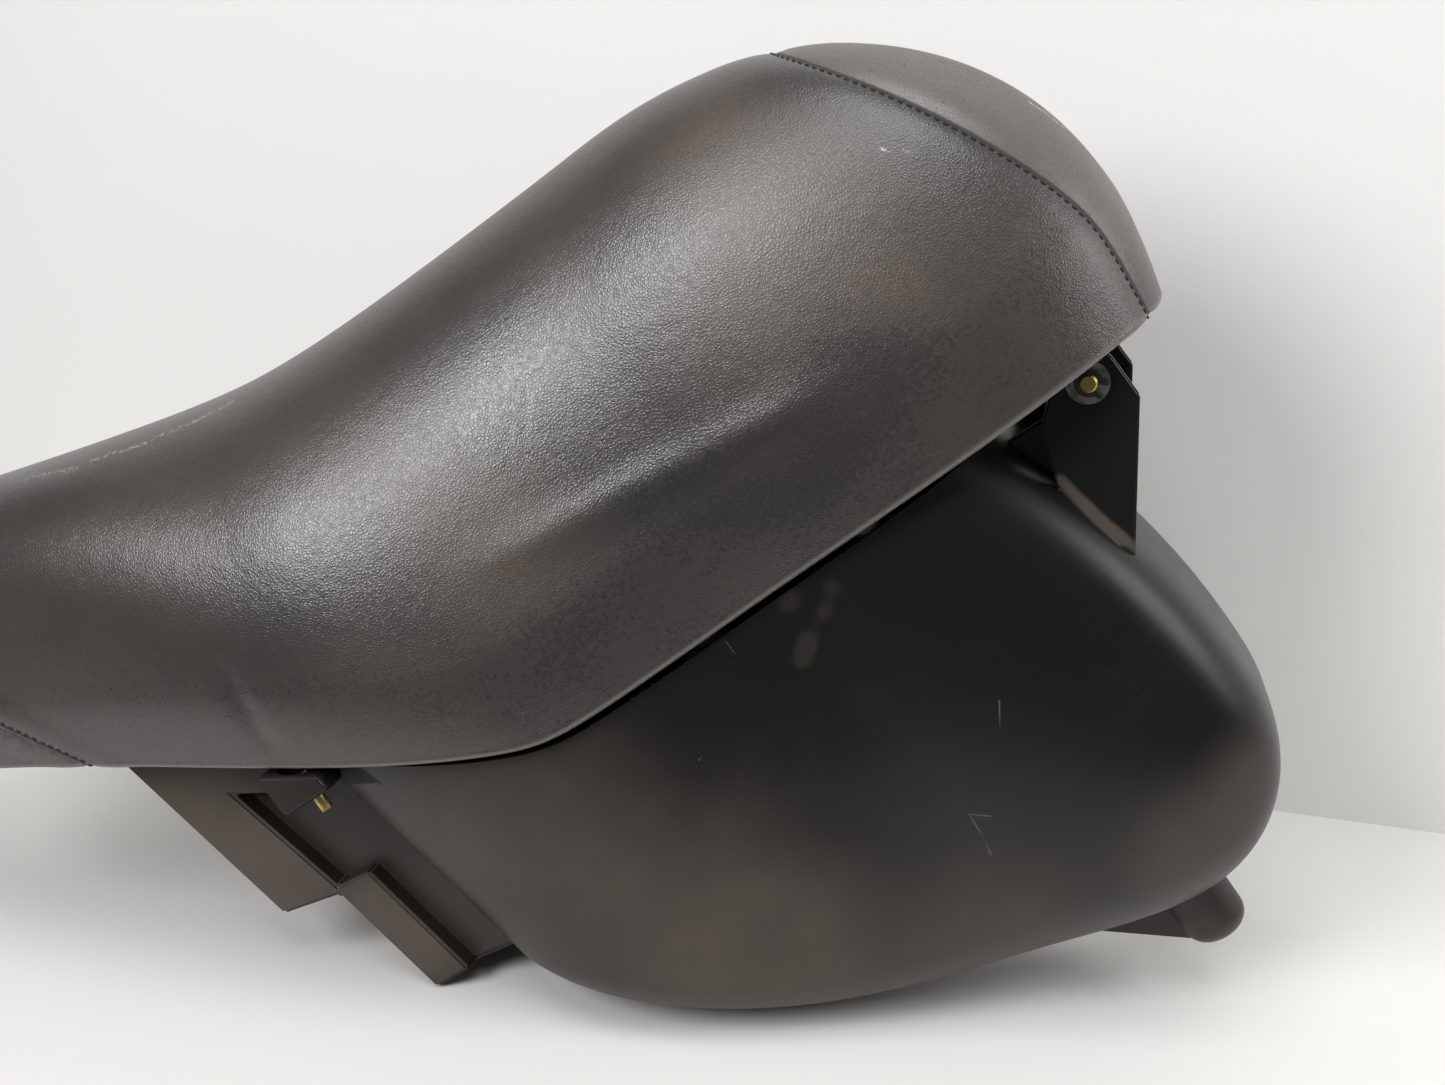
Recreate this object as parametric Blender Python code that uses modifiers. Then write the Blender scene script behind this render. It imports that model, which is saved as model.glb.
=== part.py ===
"""Scooter seat for two, hinged at its nose to the storage tub that it closes.

Metres, as installed: +X to the nose, +Y to the rider's left, +Z up.
The origin is the middle of the hinge pin.
"""
import math
from collections import namedtuple

import bmesh
import bpy
from mathutils import Matrix, Vector

# Seat seen from above
NOSE_X = 0.053
TAIL_X = -0.630
NOSE_REACH = 0.200
TAIL_REACH = 0.100
NOSE_HALF_WIDTH = 0.102
HIP_X = -0.340
HIP_HALF_WIDTH = 0.136
TAIL_HALF_WIDTH = 0.116
NOSE_PLAN_POWER = 3.2
TAIL_PLAN_POWER = 2.6

# Seat seen from the side
EDGE_Z = 0.001
SAG_X = -0.200
SAG_BLEND = 0.050
FRONT_ANGLE = math.radians(2.0)
KINK_X = -0.279
KINK_BLEND = 0.018
REAR_ANGLE = math.radians(28.6)
RIDER_TOP_Z = 0.215
STEP_X = -0.335
STEP_BLEND = 0.060
PILLION_ANGLE = math.radians(18.0)
SKIRT = 0.050
TAIL_SKIRT = 0.036
UNDERCUT = 0.008
NOSE_POWER = 2.2
SIDE_POWER = 2.5
PILLION_X = -0.460
PILLION_POWER = 3.8

# Cover, foam and pan
COVER = 0.0015
LIP = 0.016
EDGE_ROUND = 0.003
FIT = 0.0004
PAN = 0.003
PAN_BITE = 0.002
DOME = 0.034
RAMP = 0.014
NOSE_FLANGE = 0.0165
SIDE_FLANGE = 0.036
FLANGE_POWER = 5
RIB = 0.0025
RIB_DEPTH = 0.012
RIB_Y = 0.045
CROSS_RIB_XS = (-0.150, -0.225, -0.345, -0.430, -0.510)

# Seams of the cover panels
SEAM = 0.0004
NOSE_SEAM_R = 0.389
NOSE_SEAM_FROM = 50
NOSE_SEAM_TO = 17
NOSE_SEAM_LOW = (0.041, 0.0547)
NOSE_SEAM_FOOT = (0.030, -0.040)
TAIL_SEAM_X = -0.487
TAIL_SEAM_Z = 0.117
TAIL_SEAM_ANGLE = math.radians(61.0)

# Storage tub
WALL = 0.003
WALL_JOIN = 0.6
RIM_GAP = 0.004
RIM_INSET = 0.016
DRAFT = 0.018
TUB_RIM_FRONT_X = -0.048
TUB_BULGE_X = -0.013
TUB_BULGE_LEVEL = 0.58
TUB_REAR_X = -0.410
TUB_REAR_DRAFT = 0.030
TUB_CORNER = 0.056
TUB_FRONT_CORNER = 0.095
TUB_POWER = 4.5
FLOOR_FRONT_X = -0.100
FLOOR_FRONT_Z = -0.245
FLOOR_SLOPE = 0.22
FLOOR_BEND_X = -0.245
FLOOR_BEND_BLEND = 0.060
FLOOR_REAR_SLOPE = 0.50

# Stepped tray behind the tub
TRAY_HALF = 0.060
TRAY_TOP_X = -0.502
TRAY_STEP_1 = (-0.477, -0.002)
TRAY_STEP_2 = (-0.443, -0.009)
TRAY_STEP_3 = (-0.430, -0.076)
TRAY_STEP_4 = (-0.380, -0.082)
TRAY_FRONT_X = -0.370
TRAY_FRAME = 0.022
TRAY_FRAME_PROUD = 0.011
TRAY_FRAME_LIP = 0.001
TRAY_FRAME_TOP = 0.033
TRAY_WINDOW_X = -0.459
TRAY_FRAME_END_X = -0.420

# Hinge
PIN_R = 0.004
PIN_CLEAR = 0.00015
EAR_Y = 0.048
EAR = 0.005
EAR_TOP_R = 0.0145
EAR_TOP_ARC = (12, 125)
EAR_FRONT_TOP = (0.015, -0.017)
EAR_FRONT_FOOT = (-0.022, -0.072)
EAR_BACK_TOP = (-0.028, -0.006)
EAR_BACK_FOOT = (-0.036, -0.033)
EAR_BURIED = 0.015
EAR_RETURN = 0.008
EAR_RETURN_LENGTH = 0.028
EAR_WEB = 0.004
EAR_WEB_Y = 0.034
EAR_WEB_TOP = (-0.024, -0.005)
TURRET_WALL = 0.004
TURRET_WALL_TOP = 0.014
TURRET_WALL_SET_BACK = 0.001
WASHER_R = 0.0095
WASHER = 0.0015
CIRCLIP_R = 0.0062
CIRCLIP = 0.001
CIRCLIP_GAP = math.radians(36.0)
CIRCLIP_OPENING = math.radians(-60.0)
CIRCLIP_LUG = 0.0022
GROOVE_R = 0.0035
PIN_END = 0.0025
PIN_CHAMFER = 0.0008
BRACKET = 0.0025
BRACKET_Y = 0.037
BRACKET_HALF = 0.039
BRACKET_FRONT_X = -0.003
BRACKET_REAR_X = -0.058
BRACKET_EYE_R = 0.011
BRACKET_EYE_ARC = (0, -140)

# Fasteners, buffers and striker
SCREW_R = 0.0024
SCREW_HEAD_R = 0.0045
SCREW_HEAD = 0.0026
HOLE_CLEAR = 0.0003
HINGE_SCREW_XS = (-0.014, -0.046)
HINGE_SCREW_Y = 0.022
BUFFER_XS = {"front": -0.110, "middle": -0.200, "rear": -0.360}
BUFFER_INWARD = 0.0255
BUFFER_R = 0.007
BUFFER_FOOT_R = 0.0056
BUFFER_STEM_R = 0.0028
LEDGE_LENGTH = 0.024
LEDGE_DEPTH = 0.010
LEDGE_INWARD = 0.036
LEDGE_DROP = 0.0004
STRIKER_X = -0.560
STRIKER_PLATE = 0.002
STRIKER_LENGTH = 0.026
STRIKER_HALF = 0.036
STRIKER_ROD_R = 0.0035
STRIKER_LOOP_HALF = 0.014
STRIKER_DROP = 0.058
STRIKER_SCREW_Y = 0.028

# Lugs and front post
LUG_X = -0.390
LUG_LENGTH = 0.028
LUG_REACH = 0.0284
LUG_ROOT = 0.0156
LUG_HEIGHT = 0.0155
LUG_SEAT = 0.006
LUG_HOLE_EDGE = 0.012
LUG_CUP_R = 0.0085
BOLT_R = 0.003
BOLT_HEX = 0.010
BOLT_HEAD = 0.004
BOLT_FLANGE_R = 0.0062
BOLT_FLANGE = 0.0012
BOLT_LENGTH = 0.016
BOLT_WASHER_R = 0.0075
BOLT_WASHER = 0.0012
POST_X = -0.097
POST_R = 0.016
POST_LENGTH = 0.0293
POST_ROUND = 0.010
POST_ROOT = 0.012
GUSSET_REAR_X = -0.178
GUSSET_TIP_X = -0.112
GUSSET_TIP = 0.004
GUSSET = 0.004

# Facets
NOSE_STEPS = 9
TAIL_STEPS = 7
SIDE_STEPS = 11
SKIN_STEPS = 8
TUB_STEPS = 44
TUB_LEVELS = (0.12, 0.3, 0.48, 0.6, 0.7, 0.79, 0.87, 0.94, 0.98, 1.0)
TUB_CAP_SHARES = (0.25, 0.6)
ROUND_STEPS = 24
BOLT_STEPS = 16
SCREW_STEPS = 12
RIB_STEPS = 12
ARC_STEPS = 9
CIRCLIP_STEPS = 30

SPINE_FRONT = NOSE_X - NOSE_REACH
SPINE_REAR = TAIL_X + TAIL_REACH
PAN_LIE = COVER + FIT
PAN_EDGE = UNDERCUT + EDGE_ROUND + COVER + FIT

Station = namedtuple("Station", "edge spine side")


def smooth_ramp(distance, blend):
    """Distance past a corner, rounded off over the blend length."""
    return 0.5 * (distance + math.hypot(distance, blend))


def smooth_mix(a, b, t):
    return a + (b - a) * t * t * (3 - 2 * t)


def ramp_slope(distance, blend):
    """Slope of the rounded corner, from 0 before it to 1 past it."""
    return 0.5 * (1 + distance / math.hypot(distance, blend))


def edge_z(x):
    """Height of the cover's lower edge, which kinks up behind the rider."""
    front = math.tan(FRONT_ANGLE) * smooth_ramp(x - SAG_X, SAG_BLEND)
    return EDGE_Z + front + math.tan(REAR_ANGLE) * smooth_ramp(KINK_X - x, KINK_BLEND)


def edge_slope(x):
    """Angle of the lower edge, positive where it rises to the tail."""
    front = math.tan(FRONT_ANGLE) * ramp_slope(x - SAG_X, SAG_BLEND)
    return math.atan(math.tan(REAR_ANGLE) * ramp_slope(KINK_X - x, KINK_BLEND) - front)


def over_edge(x, rise):
    """Height of a surface that lies at an even distance over the lower edge."""
    return edge_z(x) + rise / math.cos(edge_slope(x))


def top_z(x):
    """Height of the crown, level under the rider and climbing under the pillion."""
    return RIDER_TOP_Z + math.tan(PILLION_ANGLE) * smooth_ramp(STEP_X - x, STEP_BLEND)


def side_power(x):
    """Squareness of the section, round under the rider and flatter on top for the pillion."""
    along = min(max((STEP_X - x) / (STEP_X - PILLION_X), 0), 1)
    return smooth_mix(SIDE_POWER, PILLION_POWER, along)


def half_width(x):
    """Half-width of the seat between the rounded nose and the rounded tail."""
    x = min(x, SPINE_FRONT)
    if x > HIP_X:
        return smooth_mix(NOSE_HALF_WIDTH, HIP_HALF_WIDTH, (SPINE_FRONT - x) / (SPINE_FRONT - HIP_X))
    return smooth_mix(HIP_HALF_WIDTH, TAIL_HALF_WIDTH, (HIP_X - x) / (HIP_X - SPINE_REAR))


def skirt_height(x):
    along = min(max((KINK_X - x) / (KINK_X - TAIL_X), 0), 1)
    return SKIRT + (TAIL_SKIRT - SKIRT) * along


def seat_outline():
    """Stations round the seat: right side from nose to tail, then the left side back."""
    right = []
    nose_power = 2 / NOSE_PLAN_POWER
    tail_power = 2 / TAIL_PLAN_POWER
    for k in range(NOSE_STEPS):
        turn = 0.5 * math.pi * k / NOSE_STEPS
        x = SPINE_FRONT + NOSE_REACH * math.cos(turn) ** nose_power
        y = -half_width(SPINE_FRONT) * math.sin(turn) ** nose_power
        right.append(Station(Vector((x, y)), SPINE_FRONT, math.sin(turn)))
    for k in range(SIDE_STEPS + 1):
        x = SPINE_FRONT + (SPINE_REAR - SPINE_FRONT) * k / SIDE_STEPS
        right.append(Station(Vector((x, -half_width(x))), x, 1.0))
    for k in reversed(range(TAIL_STEPS)):
        turn = 0.5 * math.pi * k / TAIL_STEPS
        x = SPINE_REAR - TAIL_REACH * math.cos(turn) ** tail_power
        y = -half_width(SPINE_REAR) * math.sin(turn) ** tail_power
        right.append(Station(Vector((x, y)), SPINE_REAR, 1.0))
    left = [Station(Vector((s.edge.x, -s.edge.y)), s.spine, s.side) for s in right[-2:0:-1]]
    return right + left


def spine_distance(station):
    return (Vector((station.spine, 0)) - station.edge).length


def place(station, inward, z):
    """Point that lies inward of the edge, towards the spine, at height z."""
    share = inward / spine_distance(station)
    plan = station.edge.lerp(Vector((station.spine, 0)), share)
    return Vector((plan.x, plan.y, z))


def place_over_edge(station, inward, rise):
    """The same, at a height square to the cover's lower edge."""
    point = place(station, inward, 0)
    point.z = over_edge(point.x, rise)
    return point


def skin(station, inset):
    """Crowned upper surface, from the crease over the skirt to the spine."""
    depth = spine_distance(station)
    crease = edge_z(station.edge.x) + skirt_height(station.edge.x)
    rise = top_z(station.spine) - inset - crease
    power = 2 / (NOSE_POWER + (side_power(station.spine) - NOSE_POWER) * station.side)
    points = []
    for k in range(SKIN_STEPS + 1):
        turn = 0.5 * math.pi * k / SKIN_STEPS
        inward = depth - (depth - inset) * math.cos(turn) ** power
        points.append(place(station, inward, crease + rise * math.sin(turn) ** power))
    return points


def cover_profile(station):
    """Vinyl skin: inner face down from the spine, round the lip and up the outer face."""
    outer = [
        place_over_edge(station, LIP, 0),
        place_over_edge(station, UNDERCUT + EDGE_ROUND, 0),
        place_over_edge(station, UNDERCUT, EDGE_ROUND),
    ]
    inner = [
        place_over_edge(station, LIP, COVER),
        place_over_edge(station, UNDERCUT + EDGE_ROUND + 0.5 * COVER, COVER),
        place_over_edge(station, UNDERCUT + COVER, EDGE_ROUND + 0.5 * COVER),
    ]
    return list(reversed(inner + skin(station, COVER))) + outer + skin(station, 0)


def pan_face(station, lift):
    """One face of the pan from its edge, over the flange and the ramp, to the spine."""
    flange = NOSE_FLANGE + (SIDE_FLANGE - NOSE_FLANGE) * station.side ** FLANGE_POWER
    return [
        place_over_edge(station, PAN_EDGE, PAN_LIE + lift),
        place_over_edge(station, flange, PAN_LIE + lift),
        place_over_edge(station, flange + RAMP, DOME + lift),
        place_over_edge(station, spine_distance(station), DOME + lift),
    ]


def pan_profile(station):
    return list(reversed(pan_face(station, 0))) + pan_face(station, PAN)


def foam_profile(station):
    under = list(reversed(pan_face(station, PAN + FIT)))
    return under + skin(station, COVER + FIT)


def clear_scene():
    for obj in list(bpy.data.objects):
        bpy.data.objects.remove(obj)


def make_collection(name):
    collection = bpy.data.collections.new(name)
    bpy.context.scene.collection.children.link(collection)
    return collection


def make_material(name, colour, roughness, metallic=0.0):
    material = bpy.data.materials.new(name)
    material.use_nodes = True
    shader = material.node_tree.nodes["Principled BSDF"]
    shader.inputs["Base Color"].default_value = (*colour, 1)
    shader.inputs["Roughness"].default_value = roughness
    shader.inputs["Metallic"].default_value = metallic
    return material


def add_object(name, mesh, matrix=None):
    obj = bpy.data.objects.new(name, mesh)
    if matrix is not None:
        obj.matrix_world = matrix
    return obj


def part(obj, material, parent):
    """Files an object as a piece of the seat."""
    obj.data.materials.clear()
    obj.data.materials.append(material)
    PARTS.objects.link(obj)
    obj.parent = parent
    return obj


def tool(obj):
    """Files an object as a shape that another one is cut by or joined with."""
    obj.hide_render = True
    obj.display_type = "WIRE"
    TOOLS.objects.link(obj)
    return obj


def combine(target, other, operation):
    modifier = target.modifiers.new(other.name, "BOOLEAN")
    modifier.object = other
    modifier.operation = operation


def mesh_from(name, bm):
    bmesh.ops.recalc_face_normals(bm, faces=bm.faces)
    mesh = bpy.data.meshes.new(name)
    bm.to_mesh(mesh)
    bm.free()
    return mesh


def smooth(obj, angle=math.radians(40)):
    obj.data.shade_smooth()
    obj.data.set_sharp_from_angle(angle=angle)
    return obj


def spine_loft(name, profile):
    """Closed solid whose profile runs from spine to spine, carried round the seat's outline.

    Every square is split from its low corner to its high one, so nested layers keep their gap.
    """
    bm = bmesh.new()
    shared = {}

    def vertex(point):
        key = tuple(round(value, 6) for value in point)
        if key not in shared:
            shared[key] = bm.verts.new(point)
        return shared[key]

    def face(*corners):
        if len(set(corners)) == 3:
            bm.faces.new(corners)

    rows = [[vertex(point) for point in profile(station)] for station in seat_outline()]
    for row, following in zip(rows, rows[1:] + rows[:1]):
        for k in range(len(row) - 1):
            low, high = (k, k + 1) if row[k].co.z < row[k + 1].co.z else (k + 1, k)
            face(row[low], row[high], following[high])
            face(row[low], following[high], following[low])
    return smooth(add_object(name, mesh_from(name, bm)))


def ring_loft(name, rings):
    """Closed solid through a stack of rings, with a fan of faces at each end."""
    bm = bmesh.new()
    rows = [[bm.verts.new(point) for point in ring] for ring in rings]
    count = len(rows[0])
    for row, following in zip(rows, rows[1:]):
        for k in range(count):
            bm.faces.new((row[k - 1], row[k], following[k], following[k - 1]))
    for row in (rows[0], rows[-1]):
        middle = bm.verts.new(sum((v.co for v in row), Vector()) / count)
        for k in range(count):
            bm.faces.new((row[k - 1], row[k], middle))
    return smooth(add_object(name, mesh_from(name, bm)))


def plate(name, outline, y_low, y_high):
    """Flat outline in X and Z, as thick as the span in Y."""
    curve = bpy.data.curves.new(name, "CURVE")
    curve.dimensions = "2D"
    curve.fill_mode = "BOTH"
    curve.extrude = 0.5 * (y_high - y_low)
    spline = curve.splines.new("POLY")
    spline.points.add(len(outline) - 1)
    for point, (x, z) in zip(spline.points, outline):
        point.co = (x, z, 0, 1)
    spline.use_cyclic_u = True
    turned = Matrix.Translation((0, 0.5 * (y_low + y_high), 0)) @ Matrix.Rotation(math.radians(90), 4, "X")
    return solid_of(add_object(name, curve), turned)


def solid_of(curve_object, matrix):
    """Mesh object made from a curve object, with the caps welded."""
    bpy.context.scene.collection.objects.link(curve_object)
    evaluated = curve_object.evaluated_get(bpy.context.evaluated_depsgraph_get())
    mesh = bpy.data.meshes.new_from_object(evaluated)
    name = curve_object.name
    bpy.data.objects.remove(curve_object)
    bm = bmesh.new()
    bm.from_mesh(mesh)
    bpy.data.meshes.remove(mesh)
    bmesh.ops.remove_doubles(bm, verts=bm.verts, dist=1e-6)
    bmesh.ops.transform(bm, matrix=matrix, verts=bm.verts)
    return add_object(name, mesh_from(name, bm))


def box(name, low, high, matrix=None):
    size = Vector(high) - Vector(low)
    middle = (Vector(high) + Vector(low)) / 2
    bm = bmesh.new()
    bmesh.ops.create_cube(bm, size=1, matrix=Matrix.Translation(middle) @ Matrix.Diagonal((*size, 1)))
    return add_object(name, mesh_from(name, bm), matrix)


def cylinder(name, radius, low, high, matrix=None, steps=ROUND_STEPS):
    """Cylinder along the local Z axis."""
    bm = bmesh.new()
    bmesh.ops.create_cone(
        bm, cap_ends=True, segments=steps, radius1=radius, radius2=radius, depth=high - low,
        matrix=Matrix.Translation((0, 0, 0.5 * (low + high))))
    return smooth(add_object(name, mesh_from(name, bm), matrix))


def turned_mesh(name, profile):
    """Profile of (radius, height) points, from the top down, for turning about local Z."""
    bm = bmesh.new()
    line = [bm.verts.new((radius, 0, height)) for radius, height in profile]
    for first, second in zip(line, line[1:]):
        bm.edges.new((first, second))
    mesh = bpy.data.meshes.new(name)
    bm.to_mesh(mesh)
    bm.free()
    return mesh


def turned(name, mesh, matrix, steps=ROUND_STEPS):
    obj = add_object(name, mesh, matrix)
    screw = obj.modifiers.new("turn", "SCREW")
    screw.axis = "Z"
    screw.steps = steps
    screw.render_steps = steps
    screw.use_merge_vertices = True
    screw.merge_threshold = 1e-6
    screw.use_smooth_shade = False
    return obj


def arc(centre, radius, start, end, steps):
    """Points on an arc from one angle to another, in degrees."""
    angles = [math.radians(start + (end - start) * k / steps) for k in range(steps + 1)]
    return [(centre[0] + radius * math.cos(a), centre[1] + radius * math.sin(a)) for a in angles]


def across(sign, distance):
    """Frame on the hinge axis, at a distance to one side, whose Z points out to that side."""
    outward = Matrix.Rotation(math.radians(-90 * sign), 4, "X")
    return outward @ Matrix.Translation((0, 0, distance))


def edge_frame(x, y, rise):
    """Frame on the plane of the cover's lower edge: X along the edge, Z square to it."""
    return (Matrix.Translation((x, y, edge_z(x))) @ Matrix.Rotation(edge_slope(x), 4, "Y")
            @ Matrix.Translation((0, 0, rise)))


def side_names():
    return (("left", 1), ("right", -1))


def buffer_places():
    """Name, position along the seat and signed half-width of each rubber buffer."""
    for row, x in BUFFER_XS.items():
        for side, sign in side_names():
            yield f"{row}_{side}", x, sign * (half_width(x) - BUFFER_INWARD)


def cushion(seat):
    """Foam block under the vinyl skin, with its crown and drawn-in sides."""
    part(spine_loft("foam_cushion", foam_profile), FOAM, seat)


def cover_panels(seat):
    """The vinyl skin, cut along its two seams into main cover, nose panel and tail panel."""
    shell = spine_loft("cover_main", cover_profile)
    sheet = shell.data
    reach = NOSE_X + NOSE_REACH

    def nose_cutter(name, grow):
        end = math.radians(NOSE_SEAM_TO)
        centre = Vector(NOSE_SEAM_LOW) - NOSE_SEAM_R * Vector((math.cos(end), math.sin(end)))
        outline = arc(centre, NOSE_SEAM_R - grow, NOSE_SEAM_FROM, NOSE_SEAM_TO, ARC_STEPS)
        foot_x, foot_z = NOSE_SEAM_FOOT
        outline += [(foot_x - grow, foot_z), (reach, foot_z), (reach, outline[0][1])]
        return tool(plate(name, outline, -NOSE_REACH, NOSE_REACH))

    def tail_cutter(name, grow):
        seam = Matrix.Translation((TAIL_SEAM_X, 0, TAIL_SEAM_Z))
        seam = seam @ Matrix.Rotation(TAIL_SEAM_ANGLE, 4, "Y")
        return tool(box(name, (-1, -1, -1), (1, 1, grow), seam))

    combine(shell, nose_cutter("nose_seam_gap", 0.5 * SEAM), "DIFFERENCE")
    combine(shell, tail_cutter("tail_seam_gap", 0.5 * SEAM), "DIFFERENCE")
    part(shell, VINYL, seat)
    nose = add_object("cover_nose_panel", sheet)
    combine(nose, nose_cutter("nose_seam", -0.5 * SEAM), "INTERSECT")
    part(nose, VINYL, seat)
    tail = add_object("cover_tail_panel", sheet)
    combine(tail, tail_cutter("tail_seam", -0.5 * SEAM), "INTERSECT")
    part(tail, VINYL, seat)


def rib_outline(x_front, x_rear):
    """Side view of a rib that hangs from the pan's dome and is sunk into it by half its wall."""
    xs = [x_front + (x_rear - x_front) * k / RIB_STEPS for k in range(RIB_STEPS + 1)]
    upper = [(x, over_edge(x, DOME + 0.5 * PAN)) for x in xs]
    lower = [(x, over_edge(x, DOME - RIB_DEPTH)) for x in reversed(xs)]
    return upper + lower


def seat_pan(seat):
    """Moulded base: flange, dome for the load below, stiffening ribs and fastener holes."""
    pan = spine_loft("seat_pan", pan_profile)
    front = CROSS_RIB_XS[0]
    rear = CROSS_RIB_XS[-1]
    for side, sign in side_names():
        middle = sign * RIB_Y
        rib = plate(f"long_rib_{side}", rib_outline(front, rear), middle - 0.5 * RIB, middle + 0.5 * RIB)
        combine(pan, tool(rib), "UNION")
    for k, x in enumerate(CROSS_RIB_XS):
        half = half_width(x) - SIDE_FLANGE - RAMP
        low = (-0.5 * RIB, -half, DOME - RIB_DEPTH)
        high = (0.5 * RIB, half, DOME + 0.5 * PAN)
        combine(pan, tool(box(f"cross_rib_{k + 1}", low, high, edge_frame(x, 0, 0))), "UNION")
    for name, x, y in buffer_places():
        hole = cylinder(f"stem_hole_{name}", BUFFER_STEM_R + HOLE_CLEAR, -PAN, 3 * PAN,
                        edge_frame(x, y, PAN_LIE), SCREW_STEPS)
        combine(pan, tool(hole), "DIFFERENCE")
    for name, frame in list(hinge_screw_frames()) + list(striker_screw_frames()):
        hole = cylinder(f"hole_{name}", SCREW_R + HOLE_CLEAR, -PAN, 3 * PAN, frame, SCREW_STEPS)
        combine(pan, tool(hole), "DIFFERENCE")
    part(pan, PLASTIC, seat)


def hinge_screw_frames():
    """Frames on the underside of the hinge bracket's plate, one for each screw."""
    places = [(x, sign * HINGE_SCREW_Y) for x in HINGE_SCREW_XS for _, sign in side_names()]
    for k, (x, y) in enumerate(places):
        yield f"hinge_screw_{k + 1}", edge_frame(x, y, DOME - FIT - BRACKET)


def striker_screw_frames():
    """Frames on the underside of the striker's plate, one for each screw."""
    for side, sign in side_names():
        rise = DOME - FIT - STRIKER_PLATE
        yield f"striker_screw_{side}", edge_frame(STRIKER_X, sign * STRIKER_SCREW_Y, rise)


def screws(seat):
    """Round-headed screws up into the pan, for the hinge bracket and the striker."""
    def mesh(name, grip):
        gap = HOLE_CLEAR
        return turned_mesh(name, [
            (0, grip), (SCREW_R, grip), (SCREW_R, -gap), (SCREW_HEAD_R, -gap),
            (SCREW_HEAD_R, -gap - 0.5 * SCREW_HEAD), (0.5 * SCREW_HEAD_R, -gap - SCREW_HEAD),
            (0, -gap - SCREW_HEAD)])

    hinge_mesh = mesh("hinge_screw", BRACKET + FIT + PAN_BITE)
    striker_mesh = mesh("striker_screw", STRIKER_PLATE + FIT + PAN_BITE)
    for name, frame in hinge_screw_frames():
        part(turned(name, hinge_mesh, frame, SCREW_STEPS), ZINC, seat)
    for name, frame in striker_screw_frames():
        part(turned(name, striker_mesh, frame, SCREW_STEPS), ZINC, seat)


def hinge_bracket(seat):
    """Pressed steel bracket: a plate under the pan and two cheeks on the hinge pin."""
    def under_dome(x, depth):
        return (x, over_edge(x, DOME - FIT - depth))

    flat = [under_dome(BRACKET_FRONT_X, 0), under_dome(BRACKET_REAR_X, 0),
            under_dome(BRACKET_REAR_X, BRACKET), under_dome(BRACKET_FRONT_X, BRACKET)]
    bracket = plate("hinge_bracket", flat, -BRACKET_HALF, BRACKET_HALF)
    outline = arc((0, 0), BRACKET_EYE_R, *BRACKET_EYE_ARC, ARC_STEPS)
    outline += [under_dome(BRACKET_REAR_X, BRACKET), under_dome(BRACKET_REAR_X, 0.5 * BRACKET)]
    outline += [under_dome(BRACKET_FRONT_X - FIT, 0.5 * BRACKET)]
    for side, sign in side_names():
        ys = sorted((sign * (BRACKET_Y - BRACKET), sign * BRACKET_Y))
        combine(bracket, tool(plate(f"bracket_cheek_{side}", outline, *ys)), "UNION")
    eye = cylinder("bracket_eye", PIN_R + PIN_CLEAR, -2 * BRACKET_Y, 2 * BRACKET_Y, across(1, 0))
    combine(bracket, tool(eye), "DIFFERENCE")
    for name, frame in hinge_screw_frames():
        hole = cylinder(f"bracket_{name}", SCREW_R + HOLE_CLEAR, -BRACKET, 2 * BRACKET, frame, SCREW_STEPS)
        combine(bracket, tool(hole), "DIFFERENCE")
    part(bracket, STEEL, seat)


def buffers(seat):
    """Rubber buffers pushed into the pan, which rest on the ledges inside the tub's rim."""
    foot = -(RIM_GAP + PAN_LIE) + FIT
    mesh = turned_mesh("buffer", [
        (0, PAN_BITE), (BUFFER_STEM_R, PAN_BITE), (BUFFER_STEM_R, -FIT), (BUFFER_R, -FIT),
        (BUFFER_R, 0.5 * foot), (BUFFER_FOOT_R, foot), (0, foot)])
    for name, x, y in buffer_places():
        part(turned(f"buffer_{name}", mesh, edge_frame(x, y, PAN_LIE), BOLT_STEPS), RUBBER, seat)


def striker(seat):
    """Bent rod loop on a plate under the tail of the pan."""
    frame = edge_frame(STRIKER_X, 0, DOME - FIT)
    half_length = 0.5 * STRIKER_LENGTH
    low = (-half_length, -STRIKER_HALF, -STRIKER_PLATE)
    body = box("striker", low, (half_length, STRIKER_HALF, 0), frame)
    bend = 2 * STRIKER_ROD_R
    corner_y = STRIKER_LOOP_HALF - bend
    corner_z = bend - STRIKER_DROP
    route = [(STRIKER_LOOP_HALF, -0.5 * STRIKER_PLATE)]
    route += arc((corner_y, corner_z), bend, 0, -90, 4)
    route += arc((-corner_y, corner_z), bend, -90, -180, 4)
    route += [(-STRIKER_LOOP_HALF, -0.5 * STRIKER_PLATE)]
    curve = bpy.data.curves.new("striker_loop", "CURVE")
    curve.dimensions = "3D"
    curve.bevel_depth = STRIKER_ROD_R
    curve.bevel_resolution = 2
    curve.use_fill_caps = True
    spline = curve.splines.new("POLY")
    spline.points.add(len(route) - 1)
    for point, (y, z) in zip(spline.points, route):
        point.co = (0, y, z, 1)
    combine(body, tool(solid_of(add_object("striker_loop", curve), frame)), "UNION")
    for name, screw in striker_screw_frames():
        hole = cylinder(f"plate_{name}", SCREW_R + HOLE_CLEAR, -PAN, 2 * PAN, screw, SCREW_STEPS)
        combine(body, tool(hole), "DIFFERENCE")
    part(body, STEEL, seat)


def rim_z(x):
    """Top of the tub, at an even gap under the cover's lower edge."""
    return over_edge(x, -RIM_GAP)


def floor_z(x):
    """Underside of the tub, which climbs to the rear, more steeply behind the bend."""
    gentle = FLOOR_SLOPE * (FLOOR_FRONT_X - x)
    return FLOOR_FRONT_Z + gentle + FLOOR_REAR_SLOPE * smooth_ramp(FLOOR_BEND_X - x, FLOOR_BEND_BLEND)


def round_off(along):
    """Share of the tub's half-width that is left at a share of its half-length."""
    return max(0, 1 - abs(along) ** TUB_POWER) ** (1 / TUB_POWER)


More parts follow.
